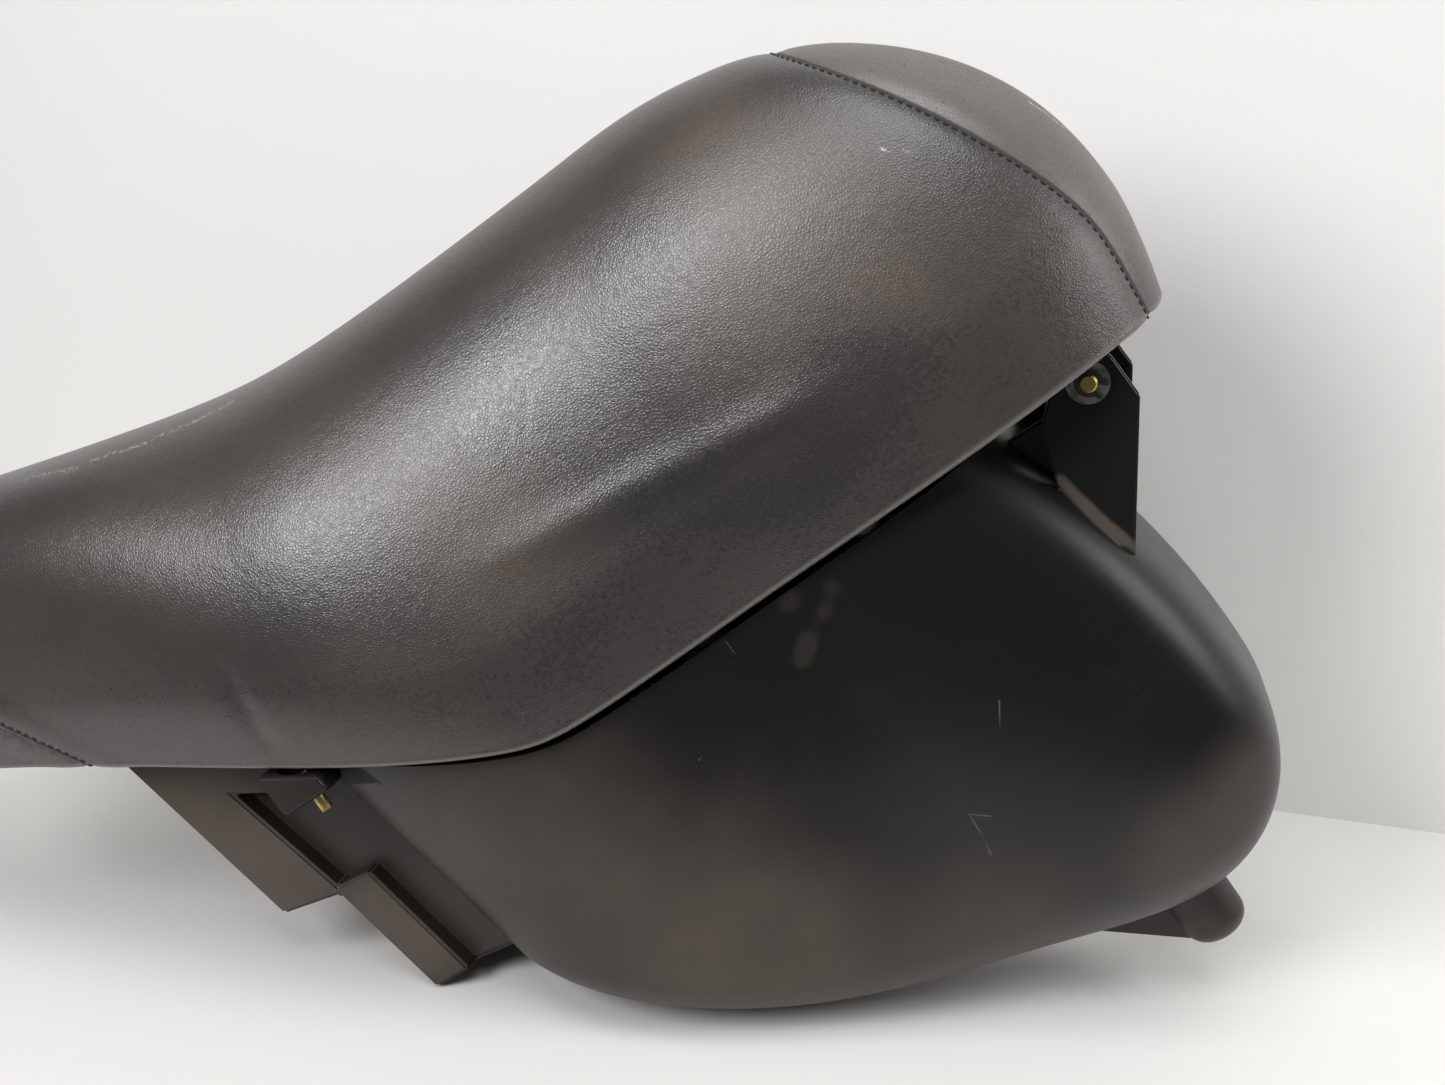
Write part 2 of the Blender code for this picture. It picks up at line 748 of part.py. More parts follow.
def rim_half_width(x):
    """Half-width of the tub at its rim."""
    middle = 0.5 * (TUB_RIM_FRONT_X + TUB_REAR_X)
    reach = 0.5 * (TUB_RIM_FRONT_X - TUB_REAR_X)
    return (half_width(x) - RIM_INSET) * round_off((x - middle) / reach)


def tub_ring(level, inset, shrink=1.0):
    """Ring of the tub between its rim (level 0) and its floor (level 1), moved in by inset."""
    bulge = 1 - (1 - max(level, 0) / TUB_BULGE_LEVEL) ** 2
    depth = rim_z(TUB_RIM_FRONT_X) - FLOOR_FRONT_Z

    def corner_inset(radius):
        turn = max(0, 1 - (1 - level) * depth / radius)
        return inset + radius * (1 - math.sqrt(max(0, 1 - turn * turn)))

    corner = corner_inset(TUB_CORNER)
    front = TUB_RIM_FRONT_X + (TUB_BULGE_X - TUB_RIM_FRONT_X) * bulge - corner_inset(TUB_FRONT_CORNER)
    rear = TUB_REAR_X + TUB_REAR_DRAFT * max(level, 0) + corner
    middle = 0.5 * (front + rear)
    reach = 0.5 * (front - rear) * shrink
    points = []
    for k in range(TUB_STEPS):
        angle = 2 * math.pi * k / TUB_STEPS
        along = math.cos(angle)
        aside = math.copysign(round_off(along), math.sin(angle))
        x = middle + reach * along
        width = half_width(x) - RIM_INSET - DRAFT * max(level, 0) - corner
        z = rim_z(x) + (floor_z(x) + inset - rim_z(x)) * level
        points.append(Vector((x, width * aside * shrink, z)))
    return points


def tub_solid(name, inset, first_level):
    """Filled body of the tub, for its outside or for the space inside it."""
    rings = [tub_ring(first_level, inset, shrink) for shrink in TUB_CAP_SHARES]
    rings += [tub_ring(level, inset) for level in (first_level,) + TUB_LEVELS]
    rings += [tub_ring(TUB_LEVELS[-1], inset, shrink) for shrink in reversed(TUB_CAP_SHARES)]
    return ring_loft(name, rings)


def tray_outline(wall):
    """Side view of the stepped tray, moved in by wall; its top follows or clears the rim."""
    over = RIM_GAP if wall else -0.5 * WALL
    (x1, z1), (x2, z2), (x3, z3), (x4, z4) = TRAY_STEP_1, TRAY_STEP_2, TRAY_STEP_3, TRAY_STEP_4
    front = TRAY_FRONT_X if not wall else TUB_REAR_X - wall
    top_x = TRAY_TOP_X + wall
    lower = [(x1 + wall, z1 + wall), (x2 + wall, z2 + wall), (x3 + wall, z3 + wall)]
    lower += [(x4, z4 + wall)] if x4 < front else []
    return [(top_x, rim_z(top_x) + over)] + lower + [(front, z4 + wall), (front, rim_z(front) + over)]


def frame_outline():
    """Band that stands proud along the two risers of the stepped tray and under its rim."""
    lip = TRAY_FRAME_LIP
    (x1, z1), (x2, z2), (x3, z3) = [(x - lip, z - lip) for x, z in (TRAY_STEP_1, TRAY_STEP_2, TRAY_STEP_3)]
    risers = [(TRAY_TOP_X - lip, rim_z(TRAY_TOP_X) - WALL), (x1, z1), (x2, z2), (x3, z3)]
    inside = [(x3 + TRAY_FRAME, z3), (x2 + TRAY_FRAME, z2 + 2 * lip), (x2 + 2 * lip, z2 + 4 * lip)]
    inside += [(x, rim_z(x) - TRAY_FRAME_TOP) for x in (TRAY_WINDOW_X, TRAY_FRAME_END_X)]
    return risers + inside + [(TRAY_FRAME_END_X, rim_z(TRAY_FRAME_END_X) - WALL)]


def ear_outline():
    """Side view of a hinge ear: round over the pin, leaning back into the tub's front wall."""
    head = arc((0, 0), EAR_TOP_R, *EAR_TOP_ARC, ARC_STEPS)
    top = Vector(EAR_FRONT_TOP)
    foot = Vector(EAR_FRONT_FOOT)
    buried = foot + (foot - top).normalized() * EAR_BURIED
    root_x = TUB_RIM_FRONT_X - WALL
    root = [(root_x, EAR_BACK_FOOT[1] - WALL), (root_x, buried.y), tuple(buried)]
    return head + [EAR_BACK_TOP, EAR_BACK_FOOT] + root + [EAR_FRONT_TOP]


def web_outline():
    """Side view of the web inside each ear, from the tub's front wall to the turret wall."""
    root_x = TUB_RIM_FRONT_X - WALL
    foot_x, foot_z = EAR_FRONT_FOOT
    return [EAR_WEB_TOP, (root_x, EAR_WEB_TOP[1]), (root_x, foot_z), (foot_x - 0.5 * TURRET_WALL, foot_z)]


def turret_wall_outline(start, end, set_back):
    """Side view of a wall behind the ears' front edge, between two distances down that edge."""
    top = Vector(EAR_FRONT_TOP)
    down = (Vector(EAR_FRONT_FOOT) - top).normalized()
    behind = Vector((down.y, -down.x))
    back = set_back + TURRET_WALL
    corners = ((start, set_back), (start, back), (end, back), (end, set_back))
    return [tuple(top + down * along + behind * depth) for along, depth in corners]


def lug_outline():
    """Side view of a lug: flat below, and as high as the tub's sloping rim."""
    front = LUG_X + 0.5 * LUG_LENGTH
    rear = LUG_X - 0.5 * LUG_LENGTH
    return [(front, lug_low_z()), (front, rim_z(front)), (rear, rim_z(rear)), (rear, lug_low_z())]


def lug_low_z():
    """Height of the flat underside of the lugs."""
    return rim_z(LUG_X) - LUG_HEIGHT


def lug_out_y():
    """Distance of the lugs' outer ends from the middle."""
    return rim_half_width(LUG_X) + LUG_REACH


def post_tip_z():
    """Height of the flat tip of the front post."""
    return floor_z(POST_X) - POST_LENGTH


def storage_tub(base):
    """One moulding: tub, stepped tray, hinge ears, buffer ledges, lugs and front post."""
    tub = tub_solid("storage_tub", 0, 0.0)
    joined = [plate("tray_body", tray_outline(0), -TRAY_HALF, TRAY_HALF)]
    frame_half = TRAY_HALF + TRAY_FRAME_PROUD
    joined.append(plate("tray_frame", frame_outline(), -frame_half, frame_half))
    for side, sign in side_names():
        ear_ys = sorted((sign * (EAR_Y - EAR), sign * EAR_Y))
        joined.append(plate(f"ear_{side}", ear_outline(), *ear_ys))
        return_ys = sorted((sign * (EAR_Y - EAR_RETURN), sign * (EAR_Y - 0.5 * EAR)))
        ear_return = turret_wall_outline(TURRET_WALL_SET_BACK, EAR_RETURN_LENGTH, 0.5 * TURRET_WALL_SET_BACK)
        joined.append(plate(f"ear_return_{side}", ear_return, *return_ys))
        web_ys = sorted((sign * (EAR_WEB_Y - EAR_WEB), sign * EAR_WEB_Y))
        joined.append(plate(f"ear_web_{side}", web_outline(), *web_ys))
        lug_ys = sorted((sign * (rim_half_width(LUG_X) - LUG_ROOT), sign * lug_out_y()))
        joined.append(plate(f"lug_{side}", lug_outline(), *lug_ys))
    wall_half = EAR_Y - WALL_JOIN * EAR
    edge_length = (Vector(EAR_FRONT_TOP) - Vector(EAR_FRONT_FOOT)).length
    wall = turret_wall_outline(TURRET_WALL_TOP, edge_length + 2 * WALL, TURRET_WALL_SET_BACK)
    joined.append(plate("turret_wall", wall, -wall_half, wall_half))
    gusset = [(POST_X, post_tip_z() + POST_ROUND), (GUSSET_TIP_X, post_tip_z() + GUSSET_TIP),
              (GUSSET_REAR_X, floor_z(GUSSET_REAR_X)), (GUSSET_REAR_X, floor_z(GUSSET_REAR_X) + WALL),
              (POST_X, floor_z(POST_X) + WALL)]
    joined.append(plate("post_gusset", gusset, -0.5 * GUSSET, 0.5 * GUSSET))
    for other in joined:
        combine(tub, tool(other), "UNION")
    combine(tub, post_tool(), "UNION")
    combine(tub, tool(tub_solid("tub_space", WALL, -TUB_LEVELS[0])), "DIFFERENCE")
    tray_space = plate("tray_space", tray_outline(WALL), WALL - TRAY_HALF, TRAY_HALF - WALL)
    combine(tub, tool(tray_space), "DIFFERENCE")
    for name, x, y in buffer_places():
        inner = half_width(x) - LEDGE_INWARD - abs(y)
        outer = rim_half_width(x) - WALL_JOIN * WALL - abs(y)
        side = math.copysign(1, y)
        ys = sorted((side * inner, side * outer))
        low = (-0.5 * LEDGE_LENGTH, ys[0], -LEDGE_DEPTH)
        high = (0.5 * LEDGE_LENGTH, ys[1], 0)
        frame = edge_frame(x, y, -RIM_GAP - LEDGE_DROP)
        combine(tub, tool(box(f"ledge_{name}", low, high, frame)), "UNION")
    bore = cylinder("pin_bore", PIN_R + PIN_CLEAR, -2 * EAR_Y, 2 * EAR_Y, across(1, 0))
    combine(tub, tool(bore), "DIFFERENCE")
    for name, frame in lug_frames():
        cup = cylinder(f"cup_{name}", LUG_CUP_R, 0, LUG_LENGTH, frame)
        hole = cylinder(f"hole_{name}", BOLT_R + HOLE_CLEAR, -2 * LUG_SEAT, LUG_SEAT, frame, BOLT_STEPS)
        combine(tub, tool(cup), "DIFFERENCE")
        combine(tub, tool(hole), "DIFFERENCE")
    part(tub, PLASTIC, base)


def post_tool():
    """Round post under the front of the tub, with a rounded end and a flat tip."""
    root_z = floor_z(POST_X) + POST_ROOT
    profile = [(0, root_z), (POST_R, root_z)]
    profile += arc((POST_R - POST_ROUND, post_tip_z() + POST_ROUND), POST_ROUND, 0, -90, 5)
    profile += [(0, post_tip_z())]
    post = turned("front_post", turned_mesh("front_post", profile), Matrix.Translation((POST_X, 0, 0)))
    return tool(post)


def lug_frames():
    """Frames on the floor of each lug's cup, where its bolt sits."""
    for side, sign in side_names():
        hole_y = sign * (lug_out_y() - LUG_HOLE_EDGE)
        yield f"lug_{side}", Matrix.Translation((LUG_X, hole_y, lug_low_z() + LUG_SEAT))


def lug_bolts(base):
    """Hexagon flange bolts in the lugs, each on a washer."""
    under_head = 2 * HOLE_CLEAR + BOLT_WASHER
    shank = turned_mesh("lug_bolt", [
        (0, under_head + BOLT_FLANGE), (BOLT_FLANGE_R, under_head + BOLT_FLANGE),
        (BOLT_FLANGE_R, under_head), (BOLT_R, under_head), (BOLT_R, under_head - BOLT_LENGTH),
        (0, under_head - BOLT_LENGTH)])
    washer = ring_mesh("lug_washer", BOLT_WASHER_R, BOLT_R + HOLE_CLEAR, HOLE_CLEAR, HOLE_CLEAR + BOLT_WASHER)
    for name, frame in lug_frames():
        bolt = turned(f"{name}_bolt", shank, frame, BOLT_STEPS)
        head = cylinder(f"{name}_hexagon", BOLT_HEX / math.sqrt(3), under_head + 0.5 * BOLT_FLANGE,
                        under_head + BOLT_FLANGE + BOLT_HEAD, frame, 6)
        combine(bolt, tool(head), "UNION")
        part(bolt, ZINC, base)
        part(turned(f"{name}_washer", washer, frame, BOLT_STEPS), ZINC, base)


def ring_mesh(name, outer, inner, low, high):
    """Closed profile of a flat ring, for turning about local Z."""
    bm = bmesh.new()
    corners = [bm.verts.new((r, 0, z)) for r, z in ((inner, high), (outer, high), (outer, low), (inner, low))]
    for k in range(4):
        bm.edges.new((corners[k - 1], corners[k]))
    mesh = bpy.data.meshes.new(name)
    bm.to_mesh(mesh)
    bm.free()
    return mesh


def circlip_outline():
    """Open ring with a rounded lug on each side of its gap, which opens forward and down."""
    start = CIRCLIP_OPENING + 0.5 * CIRCLIP_GAP
    turn = 2 * math.pi - CIRCLIP_GAP
    angles = [start + turn * k / CIRCLIP_STEPS for k in range(CIRCLIP_STEPS + 1)]
    inner_r = GROOVE_R + HOLE_CLEAR

    def outer_r(k):
        return CIRCLIP_R + (CIRCLIP_LUG if min(k, CIRCLIP_STEPS - k) < 2 else 0)

    outside = [(outer_r(k) * math.cos(a), outer_r(k) * math.sin(a)) for k, a in enumerate(angles)]
    inside = [(inner_r * math.cos(a), inner_r * math.sin(a)) for a in reversed(angles)]
    return outside + inside


def hinge_hardware(base):
    """Pin through ears and bracket, held by a washer and a circlip on each side."""
    washer_y = EAR_Y + HOLE_CLEAR
    clip_y = washer_y + WASHER + HOLE_CLEAR
    groove_in = clip_y - 0.5 * HOLE_CLEAR
    groove_out = clip_y + CIRCLIP + 0.5 * HOLE_CLEAR
    end = groove_out + PIN_END
    half = [(0, end), (PIN_R - PIN_CHAMFER, end), (PIN_R, end - PIN_CHAMFER), (PIN_R, groove_out),
            (GROOVE_R, groove_out), (GROOVE_R, groove_in), (PIN_R, groove_in)]
    profile = half + [(radius, -y) for radius, y in reversed(half)]
    part(turned("hinge_pin", turned_mesh("hinge_pin", profile), across(1, 0)), ZINC, base)
    ring = ring_mesh("hinge_washer", WASHER_R, PIN_R + HOLE_CLEAR, 0, WASHER)
    for side, sign in side_names():
        part(turned(f"hinge_washer_{side}", ring, across(sign, washer_y)), STEEL, base)
        ys = sorted((sign * clip_y, sign * (clip_y + CIRCLIP)))
        part(plate(f"hinge_circlip_{side}", circlip_outline(), *ys), STEEL, base)


clear_scene()
PARTS = make_collection("scooter_seat")
TOOLS = make_collection("cutters")
VINYL = make_material("vinyl", (0.075, 0.070, 0.066), 0.55)
FOAM = make_material("foam", (0.62, 0.55, 0.40), 0.95)
PLASTIC = make_material("black_plastic", (0.018, 0.018, 0.018), 0.45)
RUBBER = make_material("rubber", (0.020, 0.020, 0.020), 0.80)
ZINC = make_material("yellow_zinc", (0.62, 0.50, 0.20), 0.35, 1.0)
STEEL = make_material("steel", (0.42, 0.43, 0.41), 0.45, 1.0)

SEAT = add_object("seat_on_hinge", None)
TUB = add_object("tub_on_frame", None)
PARTS.objects.link(SEAT)
PARTS.objects.link(TUB)
cushion(SEAT)
cover_panels(SEAT)
seat_pan(SEAT)
hinge_bracket(SEAT)
screws(SEAT)
buffers(SEAT)
striker(SEAT)
storage_tub(TUB)
lug_bolts(TUB)
hinge_hardware(TUB)
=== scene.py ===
"""Looks of the scooter seat, piece by piece in the order in which it is put together.

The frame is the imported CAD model: metres, +X to the nose, +Y to the rider's left, +Z up,
with the origin in the middle of the hinge pin.
"""
import math

import bmesh
import bpy
from mathutils import Matrix, Vector


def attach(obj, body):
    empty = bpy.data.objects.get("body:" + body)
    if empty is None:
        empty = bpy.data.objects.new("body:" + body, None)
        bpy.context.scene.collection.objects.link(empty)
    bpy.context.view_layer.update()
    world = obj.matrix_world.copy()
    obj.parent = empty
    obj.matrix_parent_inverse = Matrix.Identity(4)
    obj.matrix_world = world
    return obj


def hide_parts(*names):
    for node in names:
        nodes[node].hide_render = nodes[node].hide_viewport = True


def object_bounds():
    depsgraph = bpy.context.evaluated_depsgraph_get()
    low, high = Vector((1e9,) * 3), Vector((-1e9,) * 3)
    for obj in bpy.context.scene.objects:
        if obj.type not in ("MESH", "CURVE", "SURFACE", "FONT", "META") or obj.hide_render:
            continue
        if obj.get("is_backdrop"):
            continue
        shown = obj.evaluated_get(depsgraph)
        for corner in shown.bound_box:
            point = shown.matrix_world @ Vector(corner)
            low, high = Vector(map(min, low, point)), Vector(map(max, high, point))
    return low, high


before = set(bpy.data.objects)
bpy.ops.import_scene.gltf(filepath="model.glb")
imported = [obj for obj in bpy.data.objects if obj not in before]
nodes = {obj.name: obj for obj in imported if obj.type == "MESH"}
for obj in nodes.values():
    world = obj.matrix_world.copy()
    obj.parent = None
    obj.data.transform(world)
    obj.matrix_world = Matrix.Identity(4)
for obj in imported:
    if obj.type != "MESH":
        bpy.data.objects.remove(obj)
cad_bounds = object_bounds()


# Storage tub: black polypropylene, injection moulded in one piece with its stepped tray,
# hinge ears, lugs and front post. Used: brown dust has settled on it and it is scratched.
# Its low, floor-facing side is also painted paler brown: a painted reflection of the floor, mixed with the dust.
def ramp(distance, blend):
    """Distance past a corner, rounded off over the blend length."""
    return 0.5 * (distance + math.hypot(distance, blend))


def ramp_slope(distance, blend):
    return 0.5 * (1 + distance / math.hypot(distance, blend))


def eased(a, b, share):
    share = min(max(share, 0), 1)
    return a + (b - a) * share * share * (3 - 2 * share)


def edge_z(x):
    """Height of the seat's lower edge, which kinks up behind the rider."""
    front = math.tan(math.radians(2.0)) * ramp(x + 0.200, 0.050)
    return 0.001 + front + math.tan(math.radians(28.6)) * ramp(-0.279 - x, 0.018)


def edge_slope(x):
    front = math.tan(math.radians(2.0)) * ramp_slope(x + 0.200, 0.050)
    return math.atan(math.tan(math.radians(28.6)) * ramp_slope(-0.279 - x, 0.018) - front)


def over_edge(x, rise):
    """Height of a surface that lies at an even distance over the seat's lower edge."""
    return edge_z(x) + rise / math.cos(edge_slope(x))


def half_width(x):
    """Half-width of the seat between its rounded nose and its rounded tail."""
    x = min(x, SPINE_FRONT)
    if x > HIP_X:
        return eased(0.102, 0.136, (SPINE_FRONT - x) / (SPINE_FRONT - HIP_X))
    return eased(0.136, 0.116, (HIP_X - x) / (HIP_X - SPINE_REAR))


def edge_frame(x, y, rise):
    """Frame on the plane of the seat's lower edge: X along the edge, Z square to it."""
    return (Matrix.Translation((x, y, edge_z(x))) @ Matrix.Rotation(edge_slope(x), 4, "Y")
            @ Matrix.Translation((0, 0, rise)))


SPINE_FRONT = -0.147
SPINE_REAR = -0.530
HIP_X = -0.340
WALL = 0.003
RIM_GAP = 0.004
TUB_POWER = 4.5
TUB_FRONT_X = -0.048
TUB_REAR_X = -0.410


def rim_z(x):
    return over_edge(x, -RIM_GAP)


def floor_z(x):
    return -0.245 + 0.22 * (-0.100 - x) + 0.50 * ramp(-0.245 - x, 0.060)


def tub_ring(level, inset, shrink=1.0, steps=176):
    """Ring of the tub between its rim (level 0) and its floor (level 1), moved in by inset."""
    below = max(level, 0)
    depth = rim_z(TUB_FRONT_X) + 0.245

    def corner_inset(radius):
        turn = max(0, 1 - (1 - level) * depth / radius)
        return inset + radius * (1 - math.sqrt(max(0, 1 - turn * turn)))

    corner = corner_inset(0.056)
    bulge = 1 - (1 - below / 0.58) ** 2
    front = TUB_FRONT_X + 0.035 * bulge - corner_inset(0.095)
    rear = TUB_REAR_X + 0.030 * below + corner
    points = []
    for k in range(steps):
        angle = 2 * math.pi * k / steps
        along = math.cos(angle)
        aside = math.copysign(max(0, 1 - abs(along) ** TUB_POWER) ** (1 / TUB_POWER), math.sin(angle))
        x = 0.5 * (front + rear) + 0.5 * (front - rear) * shrink * along
        width = half_width(x) - 0.016 - 0.018 * below - corner
        z = rim_z(x) + (floor_z(x) + inset - rim_z(x)) * level
        points.append(Vector((x, width * aside * shrink, z)))
    return points


def mesh_object(name, bm):
    bmesh.ops.recalc_face_normals(bm, faces=bm.faces)
    mesh = bpy.data.meshes.new(name)
    bm.to_mesh(mesh)
    bm.free()
    obj = bpy.data.objects.new(name, mesh)
    bpy.context.scene.collection.objects.link(obj)
    return obj


def tub_solid(name, inset, first_level):
    """Filled body of the tub, for its outside or for the space inside it."""
    levels = [first_level] + [math.sin(0.5 * math.pi * k / 60) for k in range(1, 61)]
    caps = [0.04, 0.3, 0.6, 0.85]
    rings = [tub_ring(first_level, inset, share) for share in caps]
    rings += [tub_ring(level, inset) for level in levels]
    rings += [tub_ring(1.0, inset, share) for share in reversed(caps)]
    bm = bmesh.new()
    rows = [[bm.verts.new(point) for point in ring] for ring in rings]
    for row, following in zip(rows, rows[1:]):
        for k in range(len(row)):
            bm.faces.new((row[k - 1], row[k], following[k], following[k - 1]))
    bm.faces.new(rows[0])
    bm.faces.new(rows[-1])
    return mesh_object(name, bm)


def plate(name, outline, y_low, y_high, bevel=0.0):
    """Flat outline in X and Z, as thick as the span in Y, with rounded edges."""
    bm = bmesh.new()
    low = [bm.verts.new((x, y_low, z)) for x, z in outline]
    high = [bm.verts.new((x, y_high, z)) for x, z in outline]
    bm.faces.new(low)
    bm.faces.new(high)
    for k in range(len(outline)):
        bm.faces.new((low[k - 1], low[k], high[k], high[k - 1]))
    bmesh.ops.recalc_face_normals(bm, faces=bm.faces)
    if bevel:
        sharp = [e for e in bm.edges if e.calc_face_angle() > math.radians(25)]
        bmesh.ops.bevel(bm, geom=sharp, offset=bevel, segments=3, affect="EDGES", clamp_overlap=True)
    return mesh_object(name, bm)


def cylinder(name, radius, low, high, matrix, steps=64):
    """Cylinder along the local Z axis of the matrix."""
    bm = bmesh.new()
    bmesh.ops.create_cone(bm, cap_ends=True, segments=steps, radius1=radius, radius2=radius, depth=high - low,
                          matrix=matrix @ Matrix.Translation((0, 0, 0.5 * (low + high))))
    return mesh_object(name, bm)


def block(name, low, high, matrix, bevel=0.0):
    size = Vector(high) - Vector(low)
    middle = 0.5 * (Vector(high) + Vector(low))
    bm = bmesh.new()
    bmesh.ops.create_cube(bm, size=1, matrix=matrix @ Matrix.Translation(middle) @ Matrix.Diagonal((*size, 1)))
    if bevel:
        bmesh.ops.bevel(bm, geom=bm.edges[:], offset=bevel, segments=3, affect="EDGES", clamp_overlap=True)
    return mesh_object(name, bm)


def arc(centre, radius, start, end, steps):
    """Points on an arc from one angle to another, in degrees."""
    angles = [math.radians(start + (end - start) * k / steps) for k in range(steps + 1)]
    return [(centre[0] + radius * math.cos(a), centre[1] + radius * math.sin(a)) for a in angles]


def combine(target, tools, operation):
    """Boolean of the target with a group of tools, which are used up."""
    group = bpy.data.collections.new(f"{target.name}_tools")
    for obj in tools:
        group.objects.link(obj)
    modifier = target.modifiers.new("combine", "BOOLEAN")
    modifier.operand_type = "COLLECTION"
    modifier.collection = group
    modifier.operation = operation
    modifier.solver = "EXACT"
    settle(target)
    for obj in tools:
        bpy.data.objects.remove(obj)
    bpy.data.collections.remove(group)


def settle(obj):
    """Turns the object's modifiers into plain mesh."""
    evaluated = obj.evaluated_get(bpy.context.evaluated_depsgraph_get())
    mesh = bpy.data.meshes.new_from_object(evaluated)
    old = obj.data
    obj.modifiers.clear()
    obj.data = mesh
    bpy.data.meshes.remove(old)


def smooth(obj, angle=35):
    obj.data.shade_smooth()
    obj.data.set_sharp_from_angle(angle=math.radians(angle))


def even_shading(obj):
    """Keeps large faces flat where rounded edges meet them."""
    smooth(obj)
    modifier = obj.modifiers.new("even", "WEIGHTED_NORMAL")
    modifier.keep_sharp = True
    settle(obj)


SIDES = {"left": 1, "right": -1}
TRAY_HALF = 0.060
TRAY_STEPS = [(-0.477, -0.002), (-0.443, -0.009), (-0.430, -0.076), (-0.380, -0.082)]
EAR_TOP = Vector((0.015, -0.017))
EAR_FOOT = Vector((-0.022, -0.072))
EAR_DOWN = (EAR_FOOT - EAR_TOP).normalized()
POST_X = -0.097
BUFFER_XS = {"front": -0.110, "middle": -0.200, "rear": -0.360}


def along_ear(corners):
    """Points given as distance down the ears' front edge and depth behind it."""
    behind = Vector((EAR_DOWN.y, -EAR_DOWN.x))
    return [tuple(EAR_TOP + EAR_DOWN * along + behind * depth) for along, depth in corners]


tub = tub_solid("storage_tub_moulding", 0, 0.0)
tray = [(-0.502, rim_z(-0.502) - 0.0015)] + TRAY_STEPS + [(-0.370, -0.082), (-0.370, rim_z(-0.370) - 0.0015)]
joined = [plate("tray_body", tray, -TRAY_HALF, TRAY_HALF, 0.003)]
band = [(-0.503, rim_z(-0.502) - WALL), (-0.478, -0.003), (-0.444, -0.010), (-0.431, -0.077), (-0.409, -0.077),
        (-0.422, -0.008), (-0.442, -0.006), (-0.459, rim_z(-0.459) - 0.033), (-0.420, rim_z(-0.420) - 0.033),
        (-0.420, rim_z(-0.420) - WALL)]
joined.append(plate("tray_band", band, -0.071, 0.071, 0.0015))
root_x = TUB_FRONT_X - WALL
buried = EAR_FOOT + EAR_DOWN * 0.015
ear = arc((0, 0), 0.0145, 12, 125, 28)
ear += [(-0.028, -0.006), (-0.036, -0.033), (root_x, -0.036), (root_x, buried.y), tuple(buried), tuple(EAR_TOP)]
web = [(-0.024, -0.005), (root_x, -0.005), (root_x, EAR_FOOT.y), (EAR_FOOT.x - 0.002, EAR_FOOT.y)]
turret = along_ear([(0.014, 0.001), (0.014, 0.005), (0.0723, 0.005), (0.0723, 0.001)])
ear_return = along_ear([(0.001, 0.0005), (0.001, 0.0045), (0.028, 0.0045), (0.028, 0.0005)])
lug_half = half_width(-0.390) - 0.016
lug_half *= max(0, 1 - abs((-0.390 + 0.229) / 0.181) ** TUB_POWER) ** (1 / TUB_POWER)
lug_out = lug_half + 0.0284
lug_low = rim_z(-0.390) - 0.0155
lug = [(-0.376, lug_low), (-0.376, rim_z(-0.376)), (-0.404, rim_z(-0.404)), (-0.404, lug_low)]
for side, sign in SIDES.items():
    joined.append(plate(f"ear_{side}", ear, *sorted((sign * 0.043, sign * 0.048)), 0.0009))
    joined.append(plate(f"ear_return_{side}", ear_return, *sorted((sign * 0.040, sign * 0.0455)), 0.0006))
    joined.append(plate(f"ear_web_{side}", web, *sorted((sign * 0.030, sign * 0.034)), 0.001))
    joined.append(plate(f"lug_{side}", lug, *sorted((sign * (lug_half - 0.0156), sign * lug_out)), 0.0014))
joined.append(plate("turret_wall", turret, -0.045, 0.045, 0.001))
post_tip = floor_z(POST_X) - 0.0293
gusset = [(POST_X, post_tip + 0.010), (-0.112, post_tip + 0.004), (-0.178, floor_z(-0.178)),
          (-0.178, floor_z(-0.178) + WALL), (POST_X, floor_z(POST_X) + WALL)]
joined.append(plate("post_gusset", gusset, -0.002, 0.002, 0.0006))
bm = bmesh.new()
profile = [(0, post_tip)] + arc((0.006, post_tip + 0.010), 0.010, -90, 0, 10)
profile += [(0.016, floor_z(POST_X) + 0.012), (0, floor_z(POST_X) + 0.012)]
outline = [bm.verts.new((POST_X + radius, 0, z)) for radius, z in profile]
line = [bm.edges.new(pair) for pair in zip(outline, outline[1:])]
bmesh.ops.spin(bm, geom=outline + line, cent=(POST_X, 0, 0), axis=(0, 0, 1), angle=2 * math.pi, steps=64)
bmesh.ops.remove_doubles(bm, verts=bm.verts, dist=1e-6)
joined.append(mesh_object("front_post", bm))
combine(tub, joined, "UNION")
inner = [(-0.499, rim_z(-0.499) + RIM_GAP)] + [(x + WALL, z + WALL) for x, z in TRAY_STEPS[:3]]
inner += [(-0.413, -0.079), (-0.413, rim_z(-0.413) + RIM_GAP)]
across = Matrix.Rotation(math.radians(90), 4, "X")
emptied = [tub_solid("tub_space", WALL, -0.12), plate("tray_space", inner, -0.057, 0.057, 0.002)]
emptied.append(cylinder("pin_bore", 0.00415, -0.1, 0.1, across))
for side, sign in SIDES.items():
    seat_of_bolt = Matrix.Translation((-0.390, sign * (lug_out - 0.012), lug_low + 0.006))
    emptied.append(cylinder(f"lug_cup_{side}", 0.0085, 0, 0.028, seat_of_bolt))
    emptied.append(cylinder(f"lug_hole_{side}", 0.0033, -0.012, 0.006, seat_of_bolt))
combine(tub, emptied, "DIFFERENCE")
ledges = []
for row, x in BUFFER_XS.items():
    for side, sign in SIDES.items():
        y = sign * (half_width(x) - 0.0255)
        rim_half = (half_width(x) - 0.016) * max(0, 1 - abs((x + 0.229) / 0.181) ** TUB_POWER) ** (1 / TUB_POWER)
        ys = sorted((sign * (half_width(x) - 0.036 - abs(y)), sign * (rim_half - 0.0018 - abs(y))))
        low, high = (-0.012, ys[0], -0.010), (0.012, ys[1], 0)
        ledges.append(block(f"ledge_{row}_{side}", low, high, edge_frame(x, y, -RIM_GAP - 0.0004), 0.0008))
combine(tub, ledges, "UNION")
even_shading(tub)
